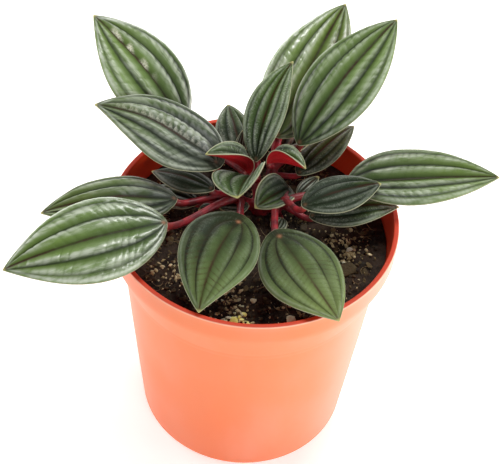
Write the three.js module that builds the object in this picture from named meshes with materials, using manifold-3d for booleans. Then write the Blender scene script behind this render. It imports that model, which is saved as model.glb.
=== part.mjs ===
// Potted peperomia: a nursery pot full of soil, a short branched red crown, and a ribbed blade for every
// leaf. Millimetres, +Z up. The origin is the centre of the pot's foot, and the front of the plant faces
// -Y.
import * as THREE from 'three';
import { mergeVertices } from 'three/addons/utils/BufferGeometryUtils.js';
import Module from 'manifold-3d';

const wasm = await Module();
wasm.setup();

const gap = 0.3; // what one piece keeps to the next
const turn = 2 * Math.PI;

// Pot: a thin moulded cup with a flared lip and drain holes in a raised ring of its floor
const potHeight = 112;
const rimRadius = 57.5;
const footRadius = 45.5;
const collarHeight = 24; // the collar round the top flares out and is this much high
const collarFlare = 5.3;
const lipWidth = 2.2;
const lipHeight = 9; // the top of the collar stands straight over this much
const potWall = 1.5;
const footBevel = 1;
const padRadius = 14; // the flat pad in the middle of the foot
const footRing = 4.5; // width of the ring that the pot stands on
const floorLift = 2.2; // how far the drained part of the floor is raised
const drainRadius = 3.5;
const drainCount = 6;
const drainSides = 14;
const potSides = 40;

// Soil: fills the pot to a little under the rim, with bark chips and perlite grains sunk in its top
const soilLevel = 99.5;
const moundHeight = 2.6;
const moundRadius = 17;
const soilWave = 0.7;
const soilCalm = 4; // the waves die away over this much at the wall
const soilSides = 36;
const soilRings = 7;
const barkCount = 20;
const barkSize = [3, 7];
const barkThickness = 1.9;
const perliteCount = 12;
const perliteSize = [1.1, 2.2];
const crumbReach = 47; // how far from the pot's axis they lie

// Crown: one main stem that parts into four shoots, which carry the petioles
const stemFoot = new THREE.Vector3(2, 12, 88);
const stemRadius = 3.8;
const shootRadius = 2.4;
const petioleStep = 8; // one straight piece of a petiole
const thinPetiole = 1.2; // petioles up to this radius have five sides, thicker ones six
const shoots = {
  main: [[2, 12, 88], [2, 12, 96], [2, 12, 104], [2, 13, 108]],
  top: [[2, 12, 103], [1, 14, 109], [0, 17, 114]],
  left: [[2, 12, 104], [-6, 10, 108], [-10, 8, 115]],
  right: [[2, 12, 104], [9, 9, 108], [13, 7, 114]],
  back: [[2, 12, 104], [5, 20, 109], [6, 26, 114]],
};

// Blades
const bladeThickness = 0.8;
const veins = [0, 0.38, 0.74]; // where the sunken veins lie, from the midrib to the margin
const ribHeight = 0.55; // how far the ribs between the veins stand out, and the veins sink in

// A blade starts at the point where its petiole meets it. heading is the compass angle of its axis from
// +X, pitch the rise of the axis and roll its turn, in degrees. fold lifts both halves from the midrib,
// curl bends them further on their way to the margin (down when it is negative), arch and sweep bow the
// axis up and to the left. wide is where the blade is widest, lobe how far its base reaches behind the
// petiole. stem is the shoot that it grows from and root the height there. petiole is its stalk's radius,
// which meets the blade at the bend angle.
const usual = {
  roll: 0, fold: 0, curl: -24, arch: 0.08, sweep: 0, wide: 0.4, lobe: 1.5, petiole: 1.5, bend: 53,
};
const fullGrown = { ...usual, strips: 5, steps: 9 };
const halfGrown = { ...usual, strips: 4, steps: 7, petiole: 1.3 };
const young = { ...usual, strips: 3, steps: 6, petiole: 0.9, arch: 0.04, lobe: 0.6 };
const leaves = {
  leaf_back_left: { ...fullGrown, at: [-33, 42, 119], heading: 146, pitch: 34, roll: -4, length: 57,
    width: 36, fold: 8, stem: 'top', root: 111, bend: 15 },
  leaf_left_upper: { ...fullGrown, at: [-17, 14, 125], heading: 164, pitch: 14, roll: 2, length: 53,
    width: 36, fold: 8, arch: 0.05, sweep: -0.07, wide: 0.37, lobe: 3, stem: 'left', root: 113 },
  leaf_left_lower: { ...fullGrown, at: [-32, -1, 118], heading: -170, pitch: -5, roll: -6, length: 52,
    width: 26, arch: 0.1, stem: 'left', root: 111 },
  leaf_front_left: { ...fullGrown, at: [-34, -20, 124], heading: -160, pitch: -9, roll: -14, length: 62,
    width: 36, curl: -14, stem: 'left', root: 109 },
  leaf_front: { ...fullGrown, at: [-6, -15, 122], heading: -107, pitch: -12, roll: -8, length: 41,
    width: 30, fold: 14, sweep: -0.06, wide: 0.36, lobe: 5, stem: 'left', root: 108 },
  leaf_front_right: { ...fullGrown, at: [10, -18, 119], heading: -57, pitch: -5, roll: 2, length: 43,
    width: 32, fold: 4, arch: 0.02, wide: 0.38, lobe: 4, stem: 'right', root: 107 },
  leaf_right: { ...fullGrown, at: [37, 15, 118], heading: 7, pitch: 2, roll: 6, length: 61, width: 30,
    fold: 22, arch: 0.03, stem: 'right', root: 110 },
  leaf_back_right: { ...fullGrown, at: [16, 26, 128], heading: 51, pitch: 28, length: 65, width: 32,
    fold: 10, wide: 0.43, stem: 'back', root: 113 },
  leaf_back: { ...fullGrown, at: [7, 34, 124], heading: 65, pitch: 26, roll: 8, length: 65, width: 33,
    fold: 12, wide: 0.38, stem: 'back', root: 115, petiole: 1.9 },
  leaf_centre_back: { ...halfGrown, at: [-1, 21, 122], heading: 69, pitch: 38, length: 42, width: 17,
    fold: 28, sweep: 0.05, wide: 0.43, stem: 'top', root: 114 },
  leaf_right_inner: { ...halfGrown, at: [19, -7, 126], heading: 29, pitch: -3, roll: 2, length: 34,
    width: 19, fold: 5, stem: 'right', root: 112 },
  leaf_right_under: { ...halfGrown, at: [23, 1, 112], heading: 11, pitch: 3, length: 35, width: 17,
    stem: 'right', root: 108 },
  leaf_back_right_under: { ...halfGrown, at: [17, 21, 116], heading: 51, pitch: 5, length: 35, width: 15,
    stem: 'back', root: 111 },
  leaf_left_inner: { ...halfGrown, at: [-18, 7, 117], heading: 152, pitch: -12, length: 29, width: 14,
    stem: 'left', root: 112 },
  leaf_left_under: { ...halfGrown, at: [-24, 9, 107], heading: 174, pitch: 4, length: 22, width: 13,
    stem: 'left', root: 109 },
  leaf_back_left_under: { ...halfGrown, at: [-7, 28, 114], heading: 104, pitch: 4, length: 32, width: 18,
    stem: 'top', root: 108 },
  leaf_back_under: { ...halfGrown, at: [9, 33, 114], heading: 74, pitch: 8, length: 34, width: 20,
    stem: 'back', root: 110 },
  young_centre: { ...halfGrown, at: [-2, 13, 120], heading: -106, pitch: 14, roll: 28, length: 19,
    width: 26, fold: 30, curl: 20, wide: 0.5, lobe: 0.6, stem: 'top', root: 114, petiole: 1.1 },
  young_left: { ...halfGrown, at: [-4, 18, 117], heading: -163, pitch: 36, roll: 12, length: 22,
    width: 16, fold: 60, curl: 8, lobe: 0.6, stem: 'top', root: 114, petiole: 1.1 },
  young_right: { ...halfGrown, at: [4, 21, 120], heading: -17, pitch: 10, roll: -26, length: 16,
    width: 16, fold: 58, curl: 8, lobe: 0.6, stem: 'back', root: 116, petiole: 1.1 },
  young_front: { ...halfGrown, at: [13, 17, 111], heading: -137, pitch: -3, roll: -18, length: 18,
    width: 17, fold: 24, curl: 30, lobe: 0.6, stem: 'right', root: 112, petiole: 1.1 },
  young_right_small: { ...young, at: [17, 11, 113], heading: 48, pitch: 13, length: 12, width: 7,
    fold: 16, stem: 'right', root: 112 },
  young_front_left: { ...young, at: [-3, 7, 109], heading: -170, pitch: -2, length: 12, width: 9,
    stem: 'left', root: 107 },
  young_back: { ...young, at: [-8, 26, 117], heading: 80, pitch: 55, length: 12, width: 5, fold: 16,
    stem: 'top', root: 113 },
  young_back_right: { ...young, at: [11, 30, 118], heading: 20, pitch: 14, length: 10, width: 5,
    fold: 16, stem: 'back', root: 113 },
  bud_front: { ...young, at: [11, 1, 109], heading: -110, pitch: -8, length: 8, width: 7, fold: 26,
    stem: 'right', root: 107 },
  bud_left: { ...young, at: [-17, 4, 110], heading: -155, pitch: -4, length: 6, width: 5, fold: 10,
    stem: 'left', root: 109 },
  bud_sprout: { ...young, at: [-1, 25, 120], heading: 120, pitch: 55, length: 6, width: 4, fold: 20,
    stem: 'top', root: 115 },
};

// Colours, roughness
const finishes = {
  pot: { color: '#ee7a4c', roughness: 0.5 },
  soil: { color: '#2b2620', roughness: 0.95 },
  crown: { color: '#b0202b', roughness: 0.4 },
  leaf: { color: '#4f6143', roughness: 0.42 },
  young: { color: '#5a6b4b', roughness: 0.42 },
};

// The same random row every time, by a small multiply-and-shift generator
function seeded(seed) {
  let state = seed;
  return () => {
    state = (Math.imul(state, 1664525) + 1013904223) >>> 0;
    return state / 2 ** 32;
  };
}

// Merges shared corners, drops triangles that have no area and turns all faces outwards
function closed(geometry) {
  geometry.deleteAttribute('normal');
  geometry.deleteAttribute('uv');
  const merged = mergeVertices(geometry, 1e-4);
  const index = merged.index.array;
  const corner = (i) => new THREE.Vector3().fromBufferAttribute(merged.attributes.position, i);
  const kept = [];
  let volume = 0;
  for (let i = 0; i < index.length; i += 3) {
    const [a, b, c] = [index[i], index[i + 1], index[i + 2]];
    if (a === b || b === c || c === a) continue;
    kept.push(a, b, c);
    volume += corner(a).dot(corner(b).cross(corner(c)));
  }
  if (volume < 0) kept.reverse();
  merged.setIndex(kept);
  return merged;
}

function toSolid(geometry) {
  const whole = closed(geometry);
  const vertProperties = new Float32Array(whole.attributes.position.array);
  const triVerts = new Uint32Array(whole.index.array);
  return new wasm.Manifold(new wasm.Mesh({ numProp: 3, vertProperties, triVerts }));
}

// The biggest connected body of a solid, so that a scrap that a cut leaves is dropped
function toGeometry(solid) {
  const bodies = solid.decompose().sort((a, b) => b.volume() - a.volume());
  const mesh = bodies[0].getMesh();
  const geometry = new THREE.BufferGeometry();
  geometry.setAttribute('position', new THREE.BufferAttribute(mesh.vertProperties, 3));
  geometry.setIndex(new THREE.BufferAttribute(mesh.triVerts, 1));
  return geometry;
}

function named(name, geometry, finish) {
  const mesh = new THREE.Mesh(geometry, new THREE.MeshStandardMaterial({ ...finish, metalness: 0 }));
  mesh.name = name;
  return mesh;
}

// Revolves a profile of [radius, height] points, which starts and ends on the axis, about +Z
function revolved(profile, sides) {
  const points = profile.map(([radius, height]) => new THREE.Vector2(radius, height));
  return new THREE.LatheGeometry(points, sides).rotateX(Math.PI / 2);
}

// The pot's outer radius at a height below the collar
const wallTop = potHeight - collarHeight;
function wallRadius(height) {
  return footRadius + (rimRadius - collarFlare - footRadius) * height / wallTop;
}

// The inside of the pot from the middle of its floor to the foot of the straight lip, moved inwards by a
// clearance
function insideProfile(clearance) {
  const inner = (height) => wallRadius(height) - potWall - clearance;
  const low = potWall + clearance;
  const high = floorLift + low;
  const ringInside = footRadius - footRing - floorLift;
  return [
    [0, low],
    [padRadius - clearance / 2, low],
    [padRadius + floorLift - clearance / 2, high],
    [ringInside + clearance / 2, high],
    [ringInside + floorLift + clearance / 2, low],
    [inner(low) - footBevel, low],
    [inner(low + footBevel), low + footBevel],
    [inner(wallTop), wallTop],
    [rimRadius - lipWidth - clearance, potHeight - lipHeight],
  ];
}

function makePot() {
  const ringInside = footRadius - footRing;
  const rounding = 0.5;
  const profile = [
    [0, 0],
    [padRadius, 0],
    [padRadius + floorLift, floorLift],
    [ringInside - floorLift, floorLift],
    [ringInside, 0],
    [footRadius - footBevel, 0],
    [footRadius, footBevel],
    [wallRadius(wallTop), wallTop],
    [rimRadius, potHeight - lipHeight],
    [rimRadius, potHeight - rounding],
    [rimRadius - rounding, potHeight],
    [rimRadius - lipWidth + rounding, potHeight],
    [rimRadius - lipWidth, potHeight - rounding],
    ...insideProfile(0).reverse(),
  ];
  let pot = toSolid(revolved(profile, potSides));
  const drainRing = (padRadius + footRadius - footRing) / 2;
  for (let i = 0; i < drainCount; i++) {
    const angle = turn * (i + 0.5) / drainCount;
    const drain = new THREE.CylinderGeometry(drainRadius, drainRadius, 4 * potWall, drainSides);
    drain.rotateX(Math.PI / 2);
    drain.translate(drainRing * Math.cos(angle), drainRing * Math.sin(angle), floorLift + potWall / 2);
    pot = pot.subtract(toSolid(drain));
  }
  return named('pot', toGeometry(pot), finishes.pot);
}

// The height of the soil: nearly level, mounded round the stem, with slow waves
function soilHeight(x, y) {
  const fromStem = Math.hypot(x - stemFoot.x, y - stemFoot.y);
  const mound = moundHeight * Math.exp(-((fromStem / moundRadius) ** 2));
  const wave = Math.sin(0.23 * x + 1.1) * Math.cos(0.19 * y - 0.4) + 0.6 * Math.sin(0.41 * x - 0.37 * y);
  return soilLevel + mound + soilWave * wave;
}

// A bark chip is a flat five-sided slab and a perlite grain a rough ball. Both are half sunk, slightly
// tilted, and clear of the stem.
function soilCrumb(random, bark) {
  const [least, most] = bark ? barkSize : perliteSize;
  const size = least + (most - least) * random();
  const reach = crumbReach * Math.sqrt(0.04 + 0.96 * random());
  const angle = turn * random();
  const [x, y] = [reach * Math.cos(angle), reach * Math.sin(angle)];
  if (Math.hypot(x - stemFoot.x, y - stemFoot.y) < stemRadius + 2 + size) return null;
  const crumb = bark ? new THREE.CylinderGeometry(size * 0.5, size * 0.62, barkThickness, 5)
    : new THREE.IcosahedronGeometry(size, 0);
  if (bark) crumb.rotateX(Math.PI / 2).scale(1, 0.5 + 0.2 * random(), 1);
  const tilt = () => 0.5 * (random() - 0.5);
  crumb.rotateX(tilt()).rotateY(tilt()).rotateZ(turn * random());
  const rise = bark ? 0.2 * barkThickness : 0.3 * size;
  return crumb.translate(x, y, soilHeight(x, y) + rise);
}

function makeSoil() {
  const side = insideProfile(gap);
  const [, [lowRadius, lowHeight], [topRadius, topHeight]] = side.slice(-3);
  const edge = lowRadius + (topRadius - lowRadius) * (soilLevel - lowHeight) / (topHeight - lowHeight);
  const rings = Array.from({ length: soilRings }, (_, i) => [edge * (1 - i / soilRings), soilLevel]);
  const ground = revolved([...side.slice(0, -1), ...rings, [0, soilLevel]], soilSides);
  const position = ground.attributes.position;
  for (let i = 0; i < position.count; i++) {
    if (position.getZ(i) < soilLevel - 1) continue;
    const [x, y] = [position.getX(i), position.getY(i)];
    const calm = THREE.MathUtils.clamp((edge - Math.hypot(x, y)) / soilCalm, 0, 1);
    position.setZ(i, soilLevel + calm * (soilHeight(x, y) - soilLevel));
  }
  let soil = toSolid(ground);
  const random = seeded(11);
  for (let i = 0; i < barkCount + perliteCount; i++) {
    const crumb = soilCrumb(random, i < barkCount);
    if (crumb) soil = soil.add(toSolid(crumb));
  }
  const holeRadius = stemRadius + gap;
  const holeDepth = 30;
  const holeSides = 18;
  const hole = new THREE.CylinderGeometry(holeRadius, holeRadius, holeDepth, holeSides).rotateX(Math.PI / 2);
  hole.translate(stemFoot.x, stemFoot.y, stemFoot.z - gap + holeDepth / 2);
  return named('soil', toGeometry(soil.subtract(toSolid(hole))), finishes.soil);
}

// Half the blade's width along its length, 0 at the base and tip and 1 where it is widest: two powers
// multiplied, the first of which rises from the base
function outline(u, wide) {
  const taper = 0.98;
  const rise = taper * wide / (1 - wide);
  return (u / wide) ** rise * ((1 - u) / (1 - wide)) ** taper;
}

// The ribs: the blade sinks to every vein and stands out halfway between two veins
function ribRelief(u, v) {
  const reach = Math.abs(v);
  const swell = Math.min(1, 5 * u) * Math.min(1, 4 * (1 - u));
  const beyond = 1.1; // a vein just past the margin, so that the outermost rib runs down to the margin
  const lines = [...veins, beyond];
  const next = lines.findIndex((vein) => vein > reach);
  const [from, to] = [lines[next - 1], lines[next]];
  const across = (reach - from) / (to - from);
  return -ribHeight * swell * Math.cos(turn * across);
}

// The point of a blade at u along its axis and v across it (-1 and 1 are the margins), lifted by height
// along the surface's normal: a bowed axis carries a cross-section that leaves the midrib at the fold
// angle and bends on by the curl angle. The fold opens within the first tenth of the axis and eases
// towards the tip.
function bladePoint(leaf, u, v, height) {
  const rad = THREE.MathUtils.degToRad;
  const [h, p, r] = [rad(leaf.heading), rad(leaf.pitch), rad(leaf.roll)];
  const along = new THREE.Vector3(Math.cos(p) * Math.cos(h), Math.cos(p) * Math.sin(h), Math.sin(p));
  const left = new THREE.Vector3(-Math.sin(h), Math.cos(h), 0).applyAxisAngle(along, r);
  const up = along.clone().cross(left);
  const bow = 4 * u * (1 - u);
  const bowSlope = 4 * (1 - 2 * u);
  const tangent = along.clone().addScaledVector(up, leaf.arch * bowSlope);
  tangent.addScaledVector(left, leaf.sweep * bowSlope);
  tangent.normalize();
  const side = left.clone().addScaledVector(tangent, -left.dot(tangent)).normalize();
  const normal = tangent.clone().cross(side);
  const half = leaf.width / 2;
  const tipWidth = 0.35;
  const reach = Math.abs(v) * (half * outline(u, leaf.wide) + tipWidth * u) / half;
  const fold = rad(leaf.fold) * (1 - 0.4 * u) * (1 - (1 - u) ** 12);
  const curl = rad(leaf.curl);
  const slope = fold + curl * reach;
  const out = Math.sign(v) * half * (Math.sin(slope) - Math.sin(fold)) / curl;
  const lift = -half * (Math.cos(slope) - Math.cos(fold)) / curl;
  const back = leaf.lobe * Math.abs(v) ** 4 * (1 - u) ** 6;
  const total = height + ribRelief(u, v);
  return new THREE.Vector3(...leaf.at)
    .addScaledVector(along, leaf.length * u)
    .addScaledVector(up, leaf.length * leaf.arch * bow)
    .addScaledVector(left, leaf.length * leaf.sweep * bow)
    .addScaledVector(side, out - Math.sign(v) * Math.sin(slope) * total)
    .addScaledVector(normal, lift + Math.cos(slope) * total)
    .addScaledVector(tangent, -back);
}

// Where the grid lines run from the midrib to the margin: on each vein and between the veins
function acrossLines(strips) {
  const halves = { 5: [0.19, 0.38, 0.56, 0.74, 1], 4: [0.19, 0.38, 0.68, 1], 3: [0.25, 0.6, 1] }[strips];
  return [...halves.map((v) => -v).reverse(), 0, ...halves];
}

// A closed blade: two grids that lie a thickness apart, with the same diagonals, joined round the margin
// and tip. At the base both halves of a grid meet, so the blade closes behind its petiole.
function bladeGeometry(leaf, thickness) {
  const lines = acrossLines(leaf.strips);
  const columns = lines.length;
  const positions = [];
  for (const height of [thickness / 2, -thickness / 2]) {
    for (let i = 0; i <= leaf.steps; i++) {
      const u = (i / leaf.steps) ** 1.15; // closer together near the base
      for (const v of lines) positions.push(...bladePoint(leaf, u, v, height).toArray());
    }
  }
  const layer = (leaf.steps + 1) * columns;
  const at = (face, i, j) => face * layer + i * columns + j;
  const index = [];
  for (let i = 0; i < leaf.steps; i++) {
    for (let j = 0; j < columns - 1; j++) {
      const corners = (face) => [
        at(face, i, j), at(face, i + 1, j), at(face, i + 1, j + 1), at(face, i, j + 1),
      ];
      const [a, b, c, d] = corners(0);
      const [e, f, g, h] = corners(1);
      if (j < (columns - 1) / 2) index.push(a, b, c, a, c, d, e, g, f, e, h, g);
      else index.push(a, b, d, b, c, d, e, h, f, f, h, g);
    }
    for (const [j, turned] of [[0, false], [columns - 1, true]]) {
      const wall = [at(0, i, j), at(1, i, j), at(1, i + 1, j), at(0, i + 1, j)];
      const [a, b, c, d] = turned ? wall.reverse() : wall;
      index.push(a, b, c, a, c, d);
    }
  }
  for (let j = 0; j < columns - 1; j++) {
    const i = leaf.steps;
    index.push(at(0, i, j), at(1, i, j), at(1, i, j + 1), at(0, i, j), at(1, i, j + 1), at(0, i, j + 1));
  }
  const geometry = new THREE.BufferGeometry();
  geometry.setAttribute('position', new THREE.Float32BufferAttribute(positions, 3));
  geometry.setIndex(index);
  return geometry;
}

// The room that a blade takes with its clearance: the same blade, thicker and with its margin further out
function bladeRoom(leaf) {
  const wider = { ...leaf, width: leaf.width + 2 * gap, length: leaf.length + gap, lobe: leaf.lobe + gap };
  return toSolid(bladeGeometry(wider, bladeThickness + 2 * gap));
}

function tube(curve, radius, sides, steps) {
  const circle = new THREE.Shape();
  for (let i = 0; i < sides; i++) {
    const angle = turn * i / sides;
    const [x, y] = [radius * Math.cos(angle), radius * Math.sin(angle)];
    if (i === 0) circle.moveTo(x, y);
    else circle.lineTo(x, y);
  }
  circle.closePath();
  return toSolid(new THREE.ExtrudeGeometry(circle, { steps, extrudePath: curve, curveSegments: 1 }));
}

function shootCurve(name) {
  return new THREE.CatmullRomCurve3(shoots[name].map((point) => new THREE.Vector3(...point)));
}

// The point of a shoot's axis at a height
function rootOn(name, height) {
  const points = shootCurve(name).getPoints(40);
  const away = (point) => Math.abs(point.z - height);
  return points.reduce((best, point) => (away(point) < away(best) ? point : best));
}

// A petiole rises from its shoot and comes up under the blade's base, where it ends inside the blade's
// thickness
function petioleCurve(leaf) {
  const spread = 0.25; // how far it sets out sideways and upwards, as a share of its span
  const approach = 0.35; // the length of its last, straight-on part, also as a share of its span
  const root = rootOn(leaf.stem, leaf.root);
  const base = bladePoint(leaf, 0.02, 0, 0);
  const along = bladePoint(leaf, 0.08, 0, 0).sub(base).normalize();
  const up = bladePoint(leaf, 0.02, 0, 1).sub(base);
  const bend = THREE.MathUtils.degToRad(leaf.bend);
  const arrival = along.multiplyScalar(Math.cos(bend)).addScaledVector(up, Math.sin(bend)).normalize();
  const end = base.clone().addScaledVector(arrival, -0.35 * leaf.petiole);
  const span = root.distanceTo(end);
  const out = end.clone().sub(root).setZ(0).multiplyScalar(spread);
  const first = root.clone().add(out).add(new THREE.Vector3(0, 0, spread * span));
  const second = end.clone().addScaledVector(arrival, -approach * span);
  return new THREE.CubicBezierCurve3(root, first, second, end);
}

// The crown: the stem, its shoots and every petiole joined, less the room that each blade needs
function makeCrown() {
  let crown = tube(shootCurve('main'), stemRadius, 10, 4);
  for (const name of ['top', 'left', 'right', 'back']) {
    crown = crown.add(tube(shootCurve(name), shootRadius, 8, 4));
  }
  for (const leaf of Object.values(leaves)) {
    const curve = petioleCurve(leaf);
    const steps = 2 + Math.round(curve.getLength() / petioleStep);
    const sides = leaf.petiole > thinPetiole ? 6 : 5;
    crown = crown.add(tube(curve, leaf.petiole, sides, steps));
  }
  for (const leaf of Object.values(leaves)) crown = crown.subtract(bladeRoom(leaf));
  return named('crown', toGeometry(crown), finishes.crown);
}

const plant = new THREE.Group();
plant.add(makePot(), makeSoil(), makeCrown());
for (const [name, leaf] of Object.entries(leaves)) {
  const finish = name.startsWith('leaf') ? finishes.leaf : finishes.young;
  plant.add(named(name, closed(bladeGeometry(leaf, bladeThickness)), finish));
}

export default plant;
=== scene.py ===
import math

import bmesh
import bpy
import numpy as np
from mathutils import Matrix, Vector


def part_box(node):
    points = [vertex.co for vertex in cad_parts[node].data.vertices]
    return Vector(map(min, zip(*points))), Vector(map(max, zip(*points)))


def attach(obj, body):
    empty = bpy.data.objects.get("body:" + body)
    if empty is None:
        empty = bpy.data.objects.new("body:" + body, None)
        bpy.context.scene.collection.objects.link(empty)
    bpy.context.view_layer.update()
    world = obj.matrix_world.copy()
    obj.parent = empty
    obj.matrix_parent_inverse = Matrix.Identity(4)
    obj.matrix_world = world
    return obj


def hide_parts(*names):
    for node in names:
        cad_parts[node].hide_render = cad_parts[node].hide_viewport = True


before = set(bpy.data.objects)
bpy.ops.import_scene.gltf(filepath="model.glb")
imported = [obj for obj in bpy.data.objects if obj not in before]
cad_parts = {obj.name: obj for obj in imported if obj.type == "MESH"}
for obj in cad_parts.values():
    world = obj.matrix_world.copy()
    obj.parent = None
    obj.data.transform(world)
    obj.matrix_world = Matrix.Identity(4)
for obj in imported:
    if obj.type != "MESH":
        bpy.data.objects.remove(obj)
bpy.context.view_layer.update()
mm = 0.001
turn = 2 * math.pi
body = "root"

# Camera, floor and light

view = {
    "elevation": 47.13,   # degrees above the horizon, from the shape of the rim in the photo
    "roll": 4.29,         # degrees that the photo leans
    "distance": 8.0,      # from the aim point, in rim radii
    "aimRight": -0.0226,  # the aim point from the middle of the rim, in rim radii
    "aimUp": -0.1296,
    "lens": 83.7,         # mm
    "sensor": 36,
    "nearest": 0.01,      # m
}
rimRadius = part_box("pot")[1].x
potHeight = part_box("pot")[1].z


def placeCamera():
    tilt, roll = math.radians(view["elevation"]), math.radians(view["roll"])
    right = Vector((1, 0, 0))
    up = Vector((0, math.sin(tilt), math.cos(tilt)))
    back = right.cross(up)
    aim = Vector((0, 0, potHeight)) + rimRadius * (view["aimRight"] * right + view["aimUp"] * up)
    spot = aim + back * view["distance"] * rimRadius
    turnedRight = right * math.cos(roll) + up * math.sin(roll)
    turnedUp = up * math.cos(roll) - right * math.sin(roll)
    camera = bpy.data.objects.new("camera", bpy.data.cameras.new("camera"))
    camera.data.lens = view["lens"]
    camera.data.sensor_width = view["sensor"]
    camera.data.clip_start = view["nearest"]
    axes = Matrix((turnedRight, turnedUp, back)).transposed().to_4x4()
    camera.matrix_world = Matrix.Translation(spot) @ axes
    bpy.context.scene.collection.objects.link(camera)
    bpy.context.scene.camera = camera


lamps = {  # place, width and height in metres, and power in watts, of the soft boxes; all aim at the plant
    "top": {"place": (0.15, 0.3, 1.05), "size": (0.42, 0.42), "power": 8},
    "left": {"place": (-1.0, 0.45, 0.4), "size": (1.1, 0.4), "power": 8.5},
    "back": {"place": (0.05, 1.15, 0.34), "size": (1.3, 0.4), "power": 8.5},
    "right": {"place": (1.15, -0.1, 0.3), "size": (0.8, 0.3), "power": 6},
    "front": {"place": (0.6, -0.95, 0.55), "size": (0.6, 0.3), "power": 4},
}
# The room is brightest near the horizon; low and high are heights of a direction, 0 level and 1 overhead
surround = {"low": 0.15, "high": 0.5, "horizon": 1.02, "overhead": 0.16, "tint": (1.0, 0.99, 0.98, 1)}


def lightScene():
    target = Vector((0, 0, potHeight))
    for name, lamp in lamps.items():
        light = bpy.data.lights.new(name, "AREA")
        light.shape = "RECTANGLE"
        light.size, light.size_y = lamp["size"]
        light.energy = lamp["power"]
        softBox = bpy.data.objects.new(name, light)
        place = Vector(lamp["place"])
        facing = (target - place).to_track_quat("-Z", "Y").to_matrix().to_4x4()
        softBox.matrix_world = Matrix.Translation(place) @ facing
        bpy.context.scene.collection.objects.link(softBox)
    world = bpy.data.worlds.new("surround")
    world.use_nodes = True
    nodes, links = world.node_tree.nodes, world.node_tree.links
    kinds = ("TexCoord", "SeparateXYZ", "MapRange")
    direction, parts, fade = (nodes.new("ShaderNode" + kind) for kind in kinds)
    fade.interpolation_type = "SMOOTHSTEP"
    for socket, key in enumerate(("low", "high", "horizon", "overhead"), 1):
        fade.inputs[socket].default_value = surround[key]
    links.new(direction.outputs["Generated"], parts.inputs[0])
    links.new(parts.outputs[2], fade.inputs[0])
    links.new(fade.outputs[0], nodes["Background"].inputs["Strength"])
    nodes["Background"].inputs["Color"].default_value = surround["tint"]
    bpy.context.scene.world = world
    bpy.context.scene.view_settings.view_transform = "Standard"


# Materials

def linear(code):
    # "#rrggbb" as the linear colour that a socket takes
    parts = [int(code[i:i + 2], 16) / 255 for i in (1, 3, 5)]
    return [((c + 0.055) / 1.055) ** 2.4 if c > 0.04045 else c / 12.92 for c in parts] + [1.0]


class Paint:
    # One material: its nodes, its colours by name, and short calls that add a node and hand back its output

    def __init__(self, name, colours, **shader):
        self.colours = {key: linear(code) for key, code in colours.items()}
        self.material = bpy.data.materials.new(name)
        self.material.use_nodes = True
        self.tree = self.material.node_tree
        self.shader = self.tree.nodes["Principled BSDF"]
        for socket, value in shader.items():
            self.shader.inputs[socket.replace("_", " ")].default_value = value

    def node(self, kind, feeds, output=0, **settings):
        node = self.tree.nodes.new("ShaderNode" + kind)
        for name, value in settings.items():
            setattr(node, name, value)
        for socket, value in feeds.items():
            if isinstance(value, bpy.types.NodeSocket):
                self.tree.links.new(value, node.inputs[socket])
            else:
                node.inputs[socket].default_value = value
        return node.outputs[output]

    def place(self):
        return self.node("TexCoord", {}, "Object")

    def mark(self, name):
        # the three numbers of a point attribute
        vector = self.node("Attribute", {}, "Vector", attribute_name=name)
        return self.node("SeparateXYZ", {0: vector}).node.outputs

    def noise(self, where, scale, detail=3.0, rough=0.55, stretch=None):
        if stretch:
            where = self.node("Mapping", {"Vector": where, "Scale": stretch})
        return self.node("TexNoise", {"Vector": where, "Scale": scale, "Detail": detail, "Roughness": rough})

    def span(self, value, low, high, outLow=0.0, outHigh=1.0):
        feeds = dict(enumerate((value, low, high, outLow, outHigh)))
        return self.node("MapRange", feeds, interpolation_type="SMOOTHSTEP")

    def maths(self, operation, a, b, clamp=False):
        return self.node("Math", {0: a, 1: b}, operation=operation, use_clamp=clamp)

    def times(self, a, b):
        return self.maths("MULTIPLY", a, b)

    def plus(self, a, b, clamp=False):
        return self.maths("ADD", a, b, clamp)

    def mix(self, share, a, b):
        a, b = (self.colours[colour] if isinstance(colour, str) else colour for colour in (a, b))
        return self.node("Mix", {0: share, 6: a, 7: b}, 2, data_type="RGBA")

    def cover(self, colour, *layers):
        # lays each colour over the ones before it, as strongly as its share says
        for share, top in layers:
            colour = self.mix(share, colour, top)
        return colour

    def bump(self, height, depth, strength):
        return self.node("Bump", {"Height": height, "Distance": depth, "Strength": strength})

    def finish(self, **outputs):
        for socket, output in outputs.items():
            self.tree.links.new(output, self.shader.inputs[socket.replace("_", " ")])
        return self.material


# The bright colour is painted highlight on the crests and along the margin, and the white of the flecks; the
# facet colour is painted highlight on the wedge facets; the shadow colour is painted shade on the undersides
# of darker leaves
leafColours = {
    "dark": "#15240f", "light": "#5d7a38", "yellow": "#7d923e",
    "silver": "#939b80", "bright": "#ccd4c2", "facet": "#cfceb8",
    "groove": "#151a0b", "blush": "#3a2013",
    "margin": "#a3a486", "tip": "#b5b070", "join": "#d08a66",
    "under": "#a81a2c", "underYoung": "#cf2027", "veinUnder": "#c44a44", "shadow": "#3a0a10",
}


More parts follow.
